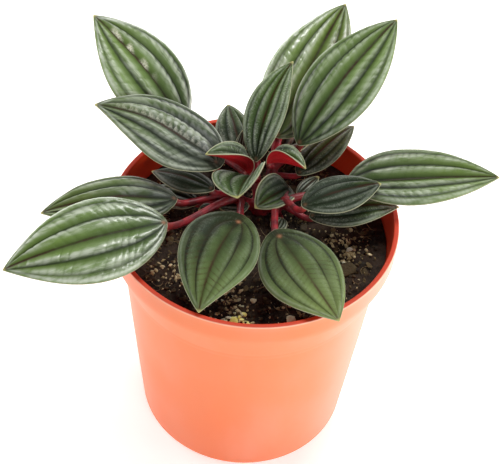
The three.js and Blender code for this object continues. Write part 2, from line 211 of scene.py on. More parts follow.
def leafPaint(name, specular, frost, veil, vein):
    # Green above, darker in the veins and silvery on the ribs, crimson below, with a pale line round the
    # margin.
    # Painted shade darkens the green round the veins, each rib's far slope and the undersides of darker
    # leaves;
    # painted highlights lie along the crests, along the margin and on wedge facets by the midrib. frost is
    # how white the flecks on the ribs are, veil how much silver dulls the light green, and vein the colour of
    # veins and creases. The patterns follow each blade's own length and width, in cm.
    paint = Paint(name, leafColours, Coat_Roughness=0.14, Specular_IOR_Level=specular)
    times, plus, span = paint.times, paint.plus, paint.span
    where = paint.place()
    along, across, under = paint.mark("bladePlace")
    groove, crest, edge = paint.mark("bladeForm")
    tone, young, join = paint.mark("bladeTone")
    midrib, crease, tip = paint.mark("bladeLines")
    yellow, facet, lobe = paint.mark("bladeTint")
    sheen, far, strip = paint.mark("bladeSheen")
    flat = paint.node("CombineXYZ", {0: along, 1: across})
    cloud = paint.noise(where, 130)
    patches = paint.noise(flat, 1.0, 3, stretch=(1.1, 5, 1))
    cells = paint.noise(flat, 1.0, 4, 0.7, stretch=(16, 12, 1))
    shade = plus(tone, times(paint.maths("SUBTRACT", cloud, 0.5), 0.55))
    # painted shade: darker round the veins and on each rib's far slope
    shade = plus(shade, times(plus(groove, far), -0.42))
    shade = plus(shade, times(lobe, 0.12), True)
    bloom = times(lobe, span(paint.noise(where, 45, 2), 0.4, 0.6, 0.55, 1.2))
    green = paint.cover(
        paint.mix(shade, "dark", paint.mix(yellow, "light", "yellow")),
        (times(shade, veil), "silver"),
        (times(bloom, span(patches, 0.4, 0.62, 0.0, 0.5)), "silver"),
        # painted highlight along the crests
        (times(crest, span(patches, 0.35, 0.6, 0.15, 0.65)), "bright"),
        (times(bloom, span(cells, 0.5, 0.64, 0.0, frost)), "bright"),
        # painted highlight line along the margin
        (times(strip, span(patches, 0.3, 0.6, 0.45, 0.8)), "bright"),
        (times(crease, span(patches, 0.65, 0.4, 0.3, 0.9)), vein),
        (times(groove, span(cloud, 0.3, 0.7, 0.6, 0.95)), vein),
        (times(midrib, span(cloud, 0.4, 0.6, 0.35, 0.8)), "blush"),
        # painted highlight on the wedge facets by the midrib
        (times(facet, span(cells, 0.35, 0.6, 0.25, 0.85)), "facet"),
        (join, "join"))
    red = paint.cover(
        paint.mix(young, "under", "underYoung"),
        (span(tone, -0.2, 0.7, 0.6, 0.0), "shadow"),
        (times(groove, 0.35), "veinUnder"),
        (span(cells, 0.4, 0.75, 0.0, 0.16), "veinUnder"))
    gloss = times(span(plus(groove, under), 0.1, 0.8, 0.7, 0.05), span(bloom, 0.2, 0.9, 0.35, 1.0))
    return paint.finish(
        Base_Color=paint.cover(green, (under, red), (edge, "margin"), (tip, "tip")),
        Roughness=span(patches, 0.3, 0.75, 0.55, 0.42),
        Coat_Weight=times(gloss, sheen),
        Normal=paint.bump(plus(cells, times(cloud, 0.5)), 0.0004, 0.4))


crownColours = {"red": "#5a0a18", "bright": "#a41b2a", "brown": "#35180f", "pale": "#a8604c"}


def crownPaint():
    # Crimson stalks, paler where they meet a blade, browner on the old stem and browner and darker at the
    # petioles' feet as painted shade of the crowded middle, with small clouds and flecks
    paint = Paint("crown", crownColours, Roughness=0.5, Coat_Weight=0.08, Specular_IOR_Level=0.35,
                  Coat_Roughness=0.25, Subsurface_Weight=0.05, Subsurface_Scale=0.6,
                  Subsurface_Radius=(0.003, 0.0008, 0.0006))
    times, span = paint.times, paint.span
    where = paint.place()
    old, tip, _ = paint.mark("stalk")
    cloud = paint.noise(where, 220, 4)
    broad = paint.noise(where, 60, 2)
    fleck = paint.noise(where, 900, 2, 0.6)
    colour = paint.cover(
        paint.mix(span(cloud, 0.35, 0.65), "red", "bright"),
        (span(broad, 0.5, 0.7, 0.0, 0.5), "brown"),
        # browner on the old stem, and browner and darker at the petioles' feet as painted shade
        (times(old, span(cloud, 0.3, 0.6, 0.5, 0.95)), "brown"),
        (times(tip, 0.6), "pale"),
        (span(fleck, 0.6, 0.75, 0.0, 0.25), "pale"))
    return paint.finish(Base_Color=colour, Normal=paint.bump(paint.plus(fleck, cloud), 0.0002, 0.5))


potColours = {
    "outside": "#ec7f4c", "low": "#ea723d", "haze": "#ee9a80", "inside": "#bf3408", "edge": "#f6c0a6",
    # the last two are painted light on the right side and painted shade at the far left
    "bleached": "#f2c4b4", "dusty": "#d98f7a",
}


def potPaint():
    # Thin moulded plastic: hazy peach outside, lighter on the right as painted light and darker at the far
    # left as painted shade, saturated orange red inside and on the lip, with a pale outer edge
    paint = Paint("pot", potColours, Specular_IOR_Level=0.35, Subsurface_Weight=0.1, Subsurface_Scale=0.5,
                  Subsurface_Radius=(0.006, 0.002, 0.001))
    times, plus, span = paint.times, paint.plus, paint.span
    where = paint.place()
    inside, edge, height = paint.mark("wall")
    broad = paint.noise(where, 14, 2)
    haze = paint.noise(where, 38, 4, stretch=(1, 1, 0.35))
    scuffs = paint.noise(where, 420, 3, 0.65, stretch=(1, 1, 3.5))
    sideways = paint.node("SeparateXYZ", {0: where})
    colour = paint.cover(
        paint.mix(span(height, 0.0, 0.75), "low", "outside"),
        (span(plus(broad, haze), 0.8, 1.4, 0.0, 0.5), "haze"),
        # painted light on the right side
        (span(sideways, 0.026, 0.056, 0.0, 0.55), "bleached"),
        # painted shade at the far left
        (span(sideways, -0.034, -0.056, 0.0, 0.6), "dusty"),
        (inside, "inside"),
        (times(edge, 0.75), "edge"),
        (span(scuffs, 0.68, 0.8, 0.0, 0.12), "edge"))
    return paint.finish(
        Base_Color=colour,
        Roughness=paint.maths("MAXIMUM", span(haze, 0.3, 0.7, 0.36, 0.5), times(inside, 0.6)),
        Normal=paint.bump(plus(haze, times(scuffs, 0.1)), 0.0003, 0.35))


grains = {  # the soil's loose stuff: darkest and lightest colour, roughness, depth and fineness of its grain
    "bark": ("#17120a", "#54462a", 0.75, 0.0008, 900),
    "perlite": ("#e0deb0", "#fbfff0", 0.8, 0.0004, 1500),
    "peat": ("#16120e", "#564630", 0.9, 0.0006, 1200),
    "tan": ("#948358", "#efe0b2", 0.8, 0.0004, 1400),
    "moss": ("#e0d868", "#fffbb0", 0.85, 0.0004, 1200),
    "fibre": ("#4a3826", "#a08a63", 0.8, 0.0002, 1500),
}


def grainPaint(name):
    # Every bit has its own shade, with grain on top, and some have a dull tan bloom
    dark, light, rough, depth, fineness = grains[name]
    colours = {"dark": dark, "light": light, "bloom": "#8f7c50"}
    paint = Paint(name, colours, Roughness=rough, Specular_IOR_Level=0.3)
    shade, bloom, _ = paint.mark("grain")
    fine = paint.noise(paint.place(), fineness, 4, 0.65)
    mottled = paint.plus(shade, paint.times(paint.maths("SUBTRACT", fine, 0.5), 0.9), True)
    colour = paint.cover(paint.mix(mottled, "dark", "light"), (paint.times(bloom, 0.3), "bloom"))
    return paint.finish(Base_Color=colour, Normal=paint.bump(fine, depth, 0.9))


def soilPaint():
    # Nearly black peat with brown and tan specks
    paint = Paint("soil", {"black": "#201a16", "peat": "#42352a", "brown": "#46382a", "tan": "#958465"},
                  Roughness=0.92, Specular_IOR_Level=0.25)
    where = paint.place()
    broad = paint.noise(where, 90, 4, 0.6)
    fine = paint.noise(where, 700, 5, 0.7)
    colour = paint.cover(
        paint.mix(paint.span(broad, 0.35, 0.65), "black", "peat"),
        (paint.span(fine, 0.5, 0.68, 0.0, 0.8), "brown"),
        (paint.span(fine, 0.66, 0.76, 0.0, 0.8), "tan"))
    return paint.finish(Base_Color=colour, Normal=paint.bump(fine, 0.0012, 1.0))


def floorPaint():
    paint = Paint("floor", {"grey": "#f6f5f3", "white": "#f9f8f7"}, Roughness=0.7, Specular_IOR_Level=0.2,
                  Emission_Color=(1, 1, 1, 1), Emission_Strength=0.42)
    return paint.finish(Base_Color=paint.mix(paint.noise(paint.place(), 3, 2), "grey", "white"))


# Meshes

def ringFaces(rows, columns):
    # The quads between rings of points, each ring closed and numbered after the one before it
    i, j = np.meshgrid(np.arange(rows - 1), np.arange(columns), indexing="ij")
    k = (j + 1) % columns
    quads = np.stack([i * columns + j, (i + 1) * columns + j, (i + 1) * columns + k, i * columns + k], -1)
    return quads.reshape(-1, 4)


def fan(start, columns, pole):
    # The triangles between a ring of points and its pole
    j = np.arange(columns)
    return np.stack([start + j, start + (j + 1) % columns, np.full(columns, pole)], -1)


def closed(rings, poles):
    # The points and faces of a row of rings that ends in a pole on both sides
    rows, columns = rings.shape[:2]
    last = rows * columns
    faces = [ringFaces(rows, columns), fan(0, columns, last), fan(last - columns, columns, last + 1)]
    return np.concatenate([rings.reshape(-1, 3), poles]), faces


def spun(profile, sides):
    # A profile of (radius, height) points carried round the axis: radius cos, radius sin, height
    angle = np.linspace(0, turn, sides, endpoint=False)[None, :]
    radius, height = profile[:, :1], profile[:, 1:]
    return np.stack([radius * np.cos(angle), radius * np.sin(angle), height + 0 * angle], -1)


def revolved(profile, sides):
    # The same, closed at both ends on the axis
    return closed(spun(profile, sides), [[0, 0, profile[0, 1]], [0, 0, profile[-1, 1]]])


def copied(faces, count, size):
    # The faces of many copies of a shape that has this number of points
    shifts = (np.arange(count) * size)[:, None, None]
    return [(face[None] + shifts).reshape(-1, face.shape[1]) for face in faces]


def newPiece(name, points, faces, material, marks=None, merge=False):
    # A mesh object from arrays: points in mm, a list of face arrays, and three-number marks of the points
    mesh = bpy.data.meshes.new(name)
    mesh.vertices.add(len(points))
    mesh.vertices.foreach_set("co", np.asarray(points * mm, np.float32).ravel())
    loops = np.concatenate([f.ravel() for f in faces])
    counts = np.concatenate([np.full(len(f), f.shape[1]) for f in faces])
    starts = np.concatenate([[0], np.cumsum(counts)[:-1]])
    mesh.loops.add(len(loops))
    mesh.loops.foreach_set("vertex_index", loops.astype(np.int32))
    mesh.polygons.add(len(counts))
    mesh.polygons.foreach_set("loop_start", starts.astype(np.int32))
    mesh.update(calc_edges=True)
    for mark, values in (marks or {}).items():
        layer = mesh.attributes.new(mark, "FLOAT_VECTOR", "POINT")
        layer.data.foreach_set("vector", np.asarray(values, np.float32).ravel())
    work = bmesh.new()
    work.from_mesh(mesh)
    if merge:
        bmesh.ops.remove_doubles(work, verts=work.verts, dist=1e-6)
    bmesh.ops.recalc_face_normals(work, faces=work.faces)
    work.to_mesh(mesh)
    work.free()
    mesh.shade_smooth()
    mesh.materials.append(material)
    piece = bpy.data.objects.new(name, mesh)
    bpy.context.scene.collection.objects.link(piece)
    return piece


def partOf(piece, slot, *nodes):
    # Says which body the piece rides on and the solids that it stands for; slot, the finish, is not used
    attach(piece, body)
    if nodes:
        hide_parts(*nodes)


def step(value, low, high):
    # 0 below low, 1 above high, an S-curve between
    t = np.clip((value - low) / (high - low), 0, 1)
    return t * t * (3 - 2 * t)


def bell(value, width):
    # exp(-(value / width) squared)
    return np.exp(-(value / width) ** 2)


def ripple(x, y, seed, scale):
    # Soft random waves, about -1 to 1: the sum of six sines that run in random directions, over 3
    draw = np.random.default_rng(seed)
    total = 0
    for _ in range(6):
        angle, phase, pace = draw.uniform(0, turn), draw.uniform(0, turn), scale * draw.uniform(0.6, 1.6)
        total = total + np.sin(pace * (x * math.cos(angle) + y * math.sin(angle)) + phase)
    return total / 3


# Blades

blade = {  # lengths in mm
    "thickness": 0.8,
    "marginThickness": 0.55,
    "shoulder": 0.4,      # how far in from the margin its edge starts to round
    "edgeSteps": 5,
    "rowPower": 1.12,     # over 1, the rows lie closer together at the base
    "evenShare": 0.35,    # of the spacing between grid lines; the rest crowds them at the veins
    "least": 0.05,        # half the width at the ends, where the outline has none
    "opening": 0.4,       # how much of its fold is gone at the tip
    "taper": 0.98,        # the power of the outline's fall to the tip
    "tipWidth": 0.16,     # half the width of the blunt tip
    "tipThinning": 0.4,   # how much thinner the blade is there
    "ends": (5, 4),       # how fast the relief grows from the base and from the tip
    "veins": (0, 0.41, 0.79),        # places across the half blade
    "veinDepths": (1, 0.85, 0.35, 0.9),   # each vein's share of the rib height, the last for the margin
    "ribHeight": 1.5,     # from the bottom of a vein to the crest of the rib beside it
    "ribMiddle": 0.45,    # the part of that height that lies below the smooth form
    "ribPeaks": (0.76, 0.68, 0.45),  # where each rib's crest lies between its veins
    "crestWidth": 0.24,
    "ribPower": 5,        # how sharply its two slopes meet there
    "fullRibs": 20,       # a blade as wide as this has ribs of full height
    "fullDetail": 24,     # and one as wide as this full creases, pleats, waves and droop
    "beads": 0.5,         # depth of the creases where they cross a crest
    "furrows": 0.16,      # and elsewhere
    "creaseSteps": (3.8, 3.4, 2.0),  # from one crease to the next, on each rib
    "creaseSlant": 0.6,   # how far a crease runs towards the tip on its way out, per mm
    "creasePower": 0.45,  # under 1, creases are narrow and the beads between them broad
    "creaseDrift": 0.45,  # how unevenly they follow each other
    "creaseShifts": (0.31, 1.7),     # which keep them from lining up across the midrib and the veins
    "creaseStrength": (0.6, 0.7),    # the middling share of their depth, and how much it varies
    "marginCreases": 0.25,
    "droop": 0.75,        # how far the margin bends down
    "droopReach": 1.1,
    "pleat": 0.1,         # height of the fine pleats along the margin
    "pleatStep": 1.05,
    "pleatReach": 1.5,
    "wave": (0.42, 0.16),            # height of the slow unevenness, and its pace in radians per mm
    "dents": (0.05, 1.3),            # and of the small dents
}
marking = {  # lengths in mm
    "edgeLine": (0.27, 0.1),         # width of the pale line round the margin, and what young adds to it
    "strip": (1.1, 0.45),            # distance of the painted highlight line from the margin, and its width
    "boldStrip": (1, 0.6),           # how much the painted light on the right half adds to the line's strength and width there
    "veinLine": (0.4, 0.4),          # strength and width of the dark line along a vein
    "veinShadow": (0.5, 0.65, 0.035),     # of the soft shadow round it, and how that widens with the blade
    "midrib": 0.5,                   # width of its brown line
    "tipSpot": (1.6, 0.3),           # the pale tip starts and is full this far from the end
    "tipLight": 0.75,                # how much lighter a blade is at its tip than at its base
    "joinSize": 0.55,                # width of the dot over the petiole, in petiole radii
    "silverPower": 2.2,              # over 1, silver keeps to the crests
}
usual = {
    "roll": 0, "fold": 0, "curl": -24,    # degrees: turn about the axis, rise of both halves, bend across
    "arch": 0.08, "sweep": 0,             # bow of the axis, upwards and sideways, as a share of the length
    "wide": 0.4, "lobe": 1.5,             # where along the axis it is widest, and how far its base runs back
    "petiole": 1.5, "bend": 53,           # the petiole's radius, and the degrees between its end and the axis
    "yellow": 0.1, "lean": 0,             # how yellow the green is, and how much lighter its left half is, as painted light
    "young": 0,                           # how bright the underside's red is
    "sheen": 1, "strip": 0.8,             # gloss, silver and painted crest highlights; the painted highlight line along the margin
    "band": 0, "dull": 0,                 # more silver by the midrib on its sign's side, as painted highlight; less on the right half, as painted shade
    "shade": 1, "join": 0.2,              # how dark the veins are, and how clear the dot over the petiole
    "ribbed": 1, "creased": 1,            # height of the ribs and depth of the creases
    "spacing": 1, "veinlets": 0.1,        # distance between creases, and how dark they are
    "facets": 0, "facetStep": 8.3,        # painted highlights: pale wedges by the midrib on its sign's side, and their step
    "facetGap": 1, "facetFrom": 0.3,      # how bare it is between wedges, and where they start
}
full = {**usual, "rows": 170, "ribSteps": 12}
broad = {**full, "paint": "soft", "spacing": 0.6, "creased": 0.15, "ribbed": 0.6}
half = {**usual, "rows": 110, "ribSteps": 8, "petiole": 1.3, "strip": 0.25, "creased": 0.6}
shaded = {**half, "sheen": 0.25, "shade": 0.6, "ribbed": 0.6}
folded = {**half, "lobe": 0.6, "petiole": 1.1, "young": 0.8, "sheen": 0.4, "creased": 0.4, "ribbed": 0.5,
          "shade": 0.7}
tiny = {**usual, "rows": 60, "ribSteps": 6, "petiole": 0.9, "strip": 0, "arch": 0.04, "lobe": 0.6,
        "young": 0.7}


def grown(kind, at, heading, pitch, length, width, stem, root, tone, **own):
    # at is where the petiole meets the blade, in mm; heading and pitch are its axis's compass angle and rise;
    # stem and root are the shoot and the height that its petiole grows from; tone is how light its green is,
    # with painted shade making the leaves that lie under and among others darker
    return {**kind, "at": at, "heading": heading, "pitch": pitch, "length": length, "width": width,
            "stem": stem, "root": root, "tone": tone, **own}


leaves = {  # the same blades as the solids
    "leaf_back_left": grown(
        full, (-33, 42, 119), 146, 34, 57, 36, "top", 111, 0.78, roll=-4, fold=8, bend=15, yellow=0.3,
        lean=0.28, sheen=0.9, dull=0.55, facets=-1.4),
    "leaf_left_upper": grown(
        full, (-17, 14, 125), 164, 14, 53, 36, "left", 113, 0.3, roll=2, fold=8, arch=0.05, sweep=-0.07,
        wide=0.37, lobe=3, yellow=0.35, sheen=0.55, band=-1.9, facets=-0.5, facetStep=2.7, facetGap=0.2,
        facetFrom=0),
    "leaf_left_lower": grown(
        full, (-32, -1, 118), -170, -5, 52, 26, "left", 111, 0.5, roll=-6, arch=0.1, yellow=0.55, sheen=0.52,
        strip=0.35, creased=0.6, ribbed=0.85),
    "leaf_front_left": grown(
        full, (-34, -20, 124), -160, -9, 62, 36, "left", 109, 0.88, roll=-14, curl=-14, yellow=0.25,
        sheen=1.15, creased=1.2, join=0.45),
    "leaf_front": grown(
        broad, (-6, -15, 122), -107, -12, 41, 30, "left", 108, 0.4, roll=-8, fold=14, sweep=-0.06, wide=0.36,
        lobe=5, yellow=0.22, lean=0.25, sheen=0.06, strip=0.15, shade=0.5, veinlets=1.2, join=0.6),
    "leaf_front_right": grown(
        broad, (10, -18, 119), -57, -5, 43, 32, "right", 107, 0.5, roll=2, fold=4, arch=0.02, wide=0.38,
        lobe=4, yellow=0.6, sheen=0.07, strip=0.2, shade=0.45, veinlets=0.9, join=0.5),
    "leaf_right": grown(
        full, (37, 15, 118), 7, 2, 61, 30, "right", 110, 0.7, roll=6, fold=22, arch=0.03, yellow=0.4,
        sheen=0.6, strip=0.15),
    "leaf_back_right": grown(
        full, (16, 26, 128), 51, 28, 65, 32, "back", 113, 0.74, fold=10, wide=0.43, yellow=0.25, sheen=0.55,
        strip=0.3),
    "leaf_back": grown(
        full, (7, 34, 124), 65, 26, 65, 33, "back", 115, 0.9, roll=8, fold=12, wide=0.38, petiole=1.9,
        yellow=0.45, sheen=1.4, strip=0.4),
    "leaf_centre_back": grown(
        half, (-1, 21, 122), 69, 38, 42, 17, "top", 114, 0.48, fold=28, sweep=0.05, wide=0.43, sheen=0.5,
        shade=0.7, creased=0.4, ribbed=0.7, spacing=0.8),
    "leaf_right_inner": grown(
        half, (19, -7, 126), 29, -3, 34, 19, "right", 112, 0.0, roll=2, fold=5, yellow=0.6, sheen=0.14,
        creased=0.4, ribbed=0.7),
    "leaf_right_under": grown(shaded, (23, 1, 112), 11, 3, 35, 17, "right", 108, 0.15),
    "leaf_back_right_under": grown(shaded, (17, 21, 116), 51, 5, 35, 15, "back", 111, 0.3),
    "leaf_left_inner": grown(
        shaded, (-18, 7, 117), 152, -12, 29, 14, "left", 112, -0.12, sheen=0.08, creased=0.3),
    "leaf_left_under": grown(half, (-24, 9, 107), 174, 4, 22, 13, "left", 109, 0.3),
    "leaf_back_left_under": grown(shaded, (-7, 28, 114), 104, 4, 32, 18, "top", 108, 0.1, ribbed=1),
    "leaf_back_under": grown(half, (9, 33, 114), 74, 8, 34, 20, "back", 110, 0.35),
    "young_centre": grown(
        folded, (-2, 13, 120), -106, 14, 19, 26, "top", 114, 0.26, roll=28, fold=30, curl=20, wide=0.5,
        yellow=0, sheen=0.3, shade=0.5, creased=0.25, ribbed=0.3),
    "young_left": grown(folded, (-4, 18, 117), -163, 36, 22, 16, "top", 114, 0.35, roll=12, fold=60, curl=8),
    "young_right": grown(folded, (4, 21, 120), -17, 10, 16, 16, "back", 116, 0.4, roll=-26, fold=58, curl=8),
    "young_front": grown(
        folded, (13, 17, 111), -137, -3, 18, 17, "right", 112, 0.1, roll=-18, fold=24, curl=30, sheen=0.15,
        shade=0.5, creased=0.25, ribbed=0.35),
    "young_right_small": grown(tiny, (17, 11, 113), 48, 13, 12, 7, "right", 112, 0.15, fold=16),
    "young_front_left": grown(tiny, (-3, 7, 109), -170, -2, 12, 9, "left", 107, 0.15),
    "young_back": grown(tiny, (-8, 26, 117), 80, 55, 12, 5, "top", 113, 0.2, fold=16),
    "young_back_right": grown(tiny, (11, 30, 118), 20, 14, 10, 5, "back", 113, 0.3, fold=16),
    "bud_front": grown(tiny, (11, 1, 109), -110, -8, 8, 7, "right", 107, 0.35, fold=26),
    "bud_left": grown(tiny, (-17, 4, 110), -155, -4, 6, 5, "left", 109, 0.35, fold=10),
    "bud_sprout": grown(tiny, (-1, 25, 120), 120, 55, 6, 4, "top", 115, 0.8, fold=20),
}


def degrees(leaf, key):
    return math.radians(leaf[key])


def bladeAxes(leaf):
    # Its axis by heading and pitch, its left side turned about the axis by roll, and the upward cross product
    h, p, r = degrees(leaf, "heading"), degrees(leaf, "pitch"), degrees(leaf, "roll")
    along = np.array([math.cos(p) * math.cos(h), math.cos(p) * math.sin(h), math.sin(p)])
    level = np.array([-math.sin(h), math.cos(h), 0])
    left = level * math.cos(r) + np.cross(along, level) * math.sin(r)
    return along, left, np.cross(along, left)


def outline(u, wide):
    # Half the blade's width along its axis, 0 at both ends and 1 where it is widest: (u / wide) to one power
    # times ((1 - u) / (1 - wide)) to another
    rise = blade["taper"] * wide / (1 - wide)
    return (u / wide) ** rise * (np.maximum(1 - u, 0) / (1 - wide)) ** blade["taper"]


def lobeBack(leaf, u, v):
    # How far the blade runs back beside its petiole
    return leaf["lobe"] * np.abs(v) ** 4 * (1 - u) ** 6


def ribPlace(v):
    # The number of the rib that v lies on, where v lies across it, 0 to 1, and the vein on its inner side
    pastMargin = 1.05
    lines = np.array([*blade["veins"], pastMargin])
    index = np.clip(np.searchsorted(lines, np.abs(v), side="right") - 1, 0, 2)
    return index, (np.abs(v) - lines[index]) / (lines[index + 1] - lines[index]), lines[index]


def bladeSurface(leaf, u, v, lift):
    # The point at u along the axis and v across (-1 and 1 are the margins): a bowed axis carries a section
    # that leaves the midrib at the fold angle and bends on by the curl angle, with lift along the normal
    along, left, up = bladeAxes(leaf)
    u, v, lift = np.broadcast_arrays(np.asarray(u, float), v, lift)
    bow, bowSlope = 4 * u * (1 - u), 4 * (1 - 2 * u)
    tangent = along + up * (leaf["arch"] * bowSlope)[..., None] + left * (leaf["sweep"] * bowSlope)[..., None]
    tangent /= np.linalg.norm(tangent, axis=-1, keepdims=True)
    side = left - tangent * (tangent @ left)[..., None]
    side /= np.linalg.norm(side, axis=-1, keepdims=True)
    normal = np.cross(tangent, side)
    middle = leaf["width"] / 2
    reach = np.abs(v) * (middle * outline(u, leaf["wide"]) + blade["tipWidth"] * u) / middle
    fold = degrees(leaf, "fold") * (1 - blade["opening"] * u) * (1 - (1 - u) ** 12)   # flat at the base
    curl = degrees(leaf, "curl")
    slope = fold + curl * reach
    out = np.sign(v) * middle * (np.sin(slope) - np.sin(fold)) / curl
    rise = -middle * (np.cos(slope) - np.cos(fold)) / curl
    points = np.array(leaf["at"], float) + along * (leaf["length"] * u)[..., None]
    points = points + up * (leaf["length"] * leaf["arch"] * bow)[..., None]
    points = points + left * (leaf["length"] * leaf["sweep"] * bow)[..., None]
    points = points + side * (out - np.sign(v) * np.sin(slope) * lift)[..., None]
    points = points + normal * (rise + np.cos(slope) * lift)[..., None]
    return points - tangent * lobeBack(leaf, u, v)[..., None]


def acrossHalf(steps, shoulder):
    # Grid lines from the midrib to the shoulder, closer together at every vein: a straight share plus a
    # cosine's share
    lines = [*blade["veins"], shoulder]
    even = blade["evenShare"]
    k = np.arange(steps) / steps
    eased = even * k + (1 - even) * (1 - np.cos(math.pi * k)) / 2
    ribs = [inner + (outer - inner) * eased for inner, outer in zip(lines, lines[1:])]
    return np.concatenate([*ribs, [shoulder]])


def bladeSection(leaf):
    # Once round the blade's cross-section: v over the upper face, round one margin, back under the blade and
    # round the other; face is 1 above, -1 below and a cosine round the margins
    shoulder = 1 - blade["shoulder"] / (leaf["width"] / 2)
    upper, lower = (acrossHalf(steps, shoulder) for steps in (leaf["ribSteps"], leaf["ribSteps"] // 2))
    angle = np.linspace(0, math.pi, blade["edgeSteps"] + 2)[1:-1]
    edge = shoulder + (1 - shoulder) * np.sin(angle)
    v = np.concatenate([-upper[:0:-1], upper, edge, lower[::-1], -lower[1:], -edge])
    top, bottom = 2 * len(upper) - 1, 2 * len(lower) - 1
    face = np.concatenate([np.ones(top), np.cos(angle), -np.ones(bottom), -np.cos(angle)])
    return v, face


def fromMargin(leaf, u, v, wide):
    # How far a point is from the margin, in mm, with the blade laid flat: the least distance to its points
    x, y = leaf["length"] * u - lobeBack(leaf, u, v), np.abs(v) * wide
    marginX, marginY = leaf["length"] * u - lobeBack(leaf, u, 1), wide
    return np.stack([np.hypot(x[i] - marginX, y[i] - marginY).min(0) for i in range(len(u))])


def bladeRelief(leaf, s, v, wide, margin, swell, seed):
    # A rib is the lesser of two slopes that rise from its veins, 1 - depth (1 - t / p) on the inner side and
    # likewise on the outer, rounded where they meet at its crest. Oblique creases, a power of |sin|, cut the
    # crests into beads and run on as furrows; fine pleats follow the margin, which droops, and slow waves
    # cover all. Swell makes it die away at both ends. Also gives the marks of the ribs' silver, with painted
    # highlight added by the midrib and painted shade taken off the right half, of the painted highlight along
    # the crests, of the creases, and of the painted shade on each rib's far slope.
    index, across, vein = ribPlace(v)
    t, peak, depths = np.clip(across, 0, 1), np.array(blade["ribPeaks"])[index], np.array(blade["veinDepths"])
    inner = np.maximum(1 - depths[index] * (1 - t / peak), 0.001)
    outer = np.maximum(1 - depths[index + 1] * (1 - (1 - t) / (1 - peak)), 0.001)
    rib = (inner ** -blade["ribPower"] + outer ** -blade["ribPower"]) ** (-1 / blade["ribPower"])
    size = min(1.0, leaf["width"] / blade["fullDetail"])
    gap = size * leaf["spacing"] * np.array(blade["creaseSteps"])[index]
    outwards = s - blade["creaseSlant"] * (np.abs(v) - vein) * wide
    atMidrib, atVein = blade["creaseShifts"]
    drift = blade["creaseDrift"] * ripple(s, 6 * v, seed, 0.22) + atMidrib * np.sign(v) + atVein * vein
    fold = np.abs(np.sin(math.pi * (outwards / gap + drift))) ** blade["creasePower"]
    middling, varied = blade["creaseStrength"]
    strength = np.clip(middling + varied * ripple(s, 7 * v, seed + 1, 0.3), 0.05, 1) * swell
    strength = strength * np.where(index > 1, blade["marginCreases"], 1)
    onCrest = bell(t - peak, blade["crestWidth"])
    height = leaf["ribbed"] * blade["ribHeight"] * min(1.0, leaf["width"] / blade["fullRibs"])
    depth = leaf["creased"] * (blade["beads"] * onCrest + blade["furrows"])
    relief = height * (rib - blade["ribMiddle"]) * swell - size * (1 - fold) * strength * depth
    relief = relief - blade["droop"] * size * swell * bell(margin, blade["droopReach"])
    pleats = np.cos(turn * margin / blade["pleatStep"]) * bell(margin, blade["pleatReach"])
    relief = relief + blade["pleat"] * size * pleats * swell
    high, pace = blade["wave"]
    relief = relief + high * size * swell * ripple(s, 12 * v, seed + 2, pace)
    high, pace = blade["dents"]
    relief = relief + high * leaf["sheen"] * size * swell * ripple(s, wide * v, seed + 3, pace)
    silver = leaf["sheen"] * np.clip(rib, 0, 1) ** marking["silverPower"]
    silver = silver * (1 - 0.3 * leaf["creased"] * (1 - fold))
    silver = silver * np.where(index > 1, 0.5 + leaf["strip"], 1)
    # painted highlight: more silver on the rib beside the midrib, on one side
    silver = silver * (1 + abs(leaf["band"]) * (leaf["band"] * v > 0) * (index == 0))
    # painted shade: less silver on the right half
    silver = silver * (1 - leaf["dull"] * step(-v, 0, 0.05))
    # painted highlight along the crests
    crest = leaf["sheen"] * onCrest * (0.45 + 0.55 * fold) * swell
    crease = (1 - fold) ** 2 * strength * (0.15 + leaf["veinlets"])
    # the last mark is painted shade on each rib's far slope
    return relief, silver, crest, crease, step(t, peak, 1) * (index < 2)


def veinMark(leaf, v, wide):
    # A fine dark line along each vein in the middle of a broad soft painted shadow
    groove = 0
    strength, width = marking["veinLine"]
    soft, least, widening = marking["veinShadow"]
    spread = least + widening * leaf["width"]
    for vein, depth in zip(blade["veins"], blade["veinDepths"]):
        gap = np.abs(np.abs(v) - vein) * wide
        line = strength * leaf["shade"] * bell(gap, width) + soft * bell(gap, spread)
        groove = np.maximum(groove, leaf["shade"] * line * (0.35 + 0.65 * depth))
    return groove


def facetMark(leaf, u, s, v, wide, seed):
    # Painted highlights on the puckers: pale wedges that start narrow and flare away from the midrib, again
    # and again along the blade
    sway = 0.1 * np.sin(0.5 * s) + 0.3 * (1 - leaf["facetGap"]) * ripple(s, 3 * v, seed + 4, 0.9)
    flare = np.mod(s / leaf["facetStep"] + 0.2 + sway, 1)
    facet = step(leaf["facets"] * v * wide, 0.1, 0.5)
    facet = facet * (1 - step(np.abs(v) * wide, 0.2 + 2 * flare, 0.8 + 2.8 * flare))
    facet = facet * (1 - leaf["facetGap"] * (1 - step(flare, 0.1, 0.6) * step(1 - flare, 0, 0.3)))
    onBlade = step(u, leaf["facetFrom"], leaf["facetFrom"] + 0.3) * step(1 - u, 0.08, 0.25)
    return abs(leaf["facets"]) * facet * onBlade


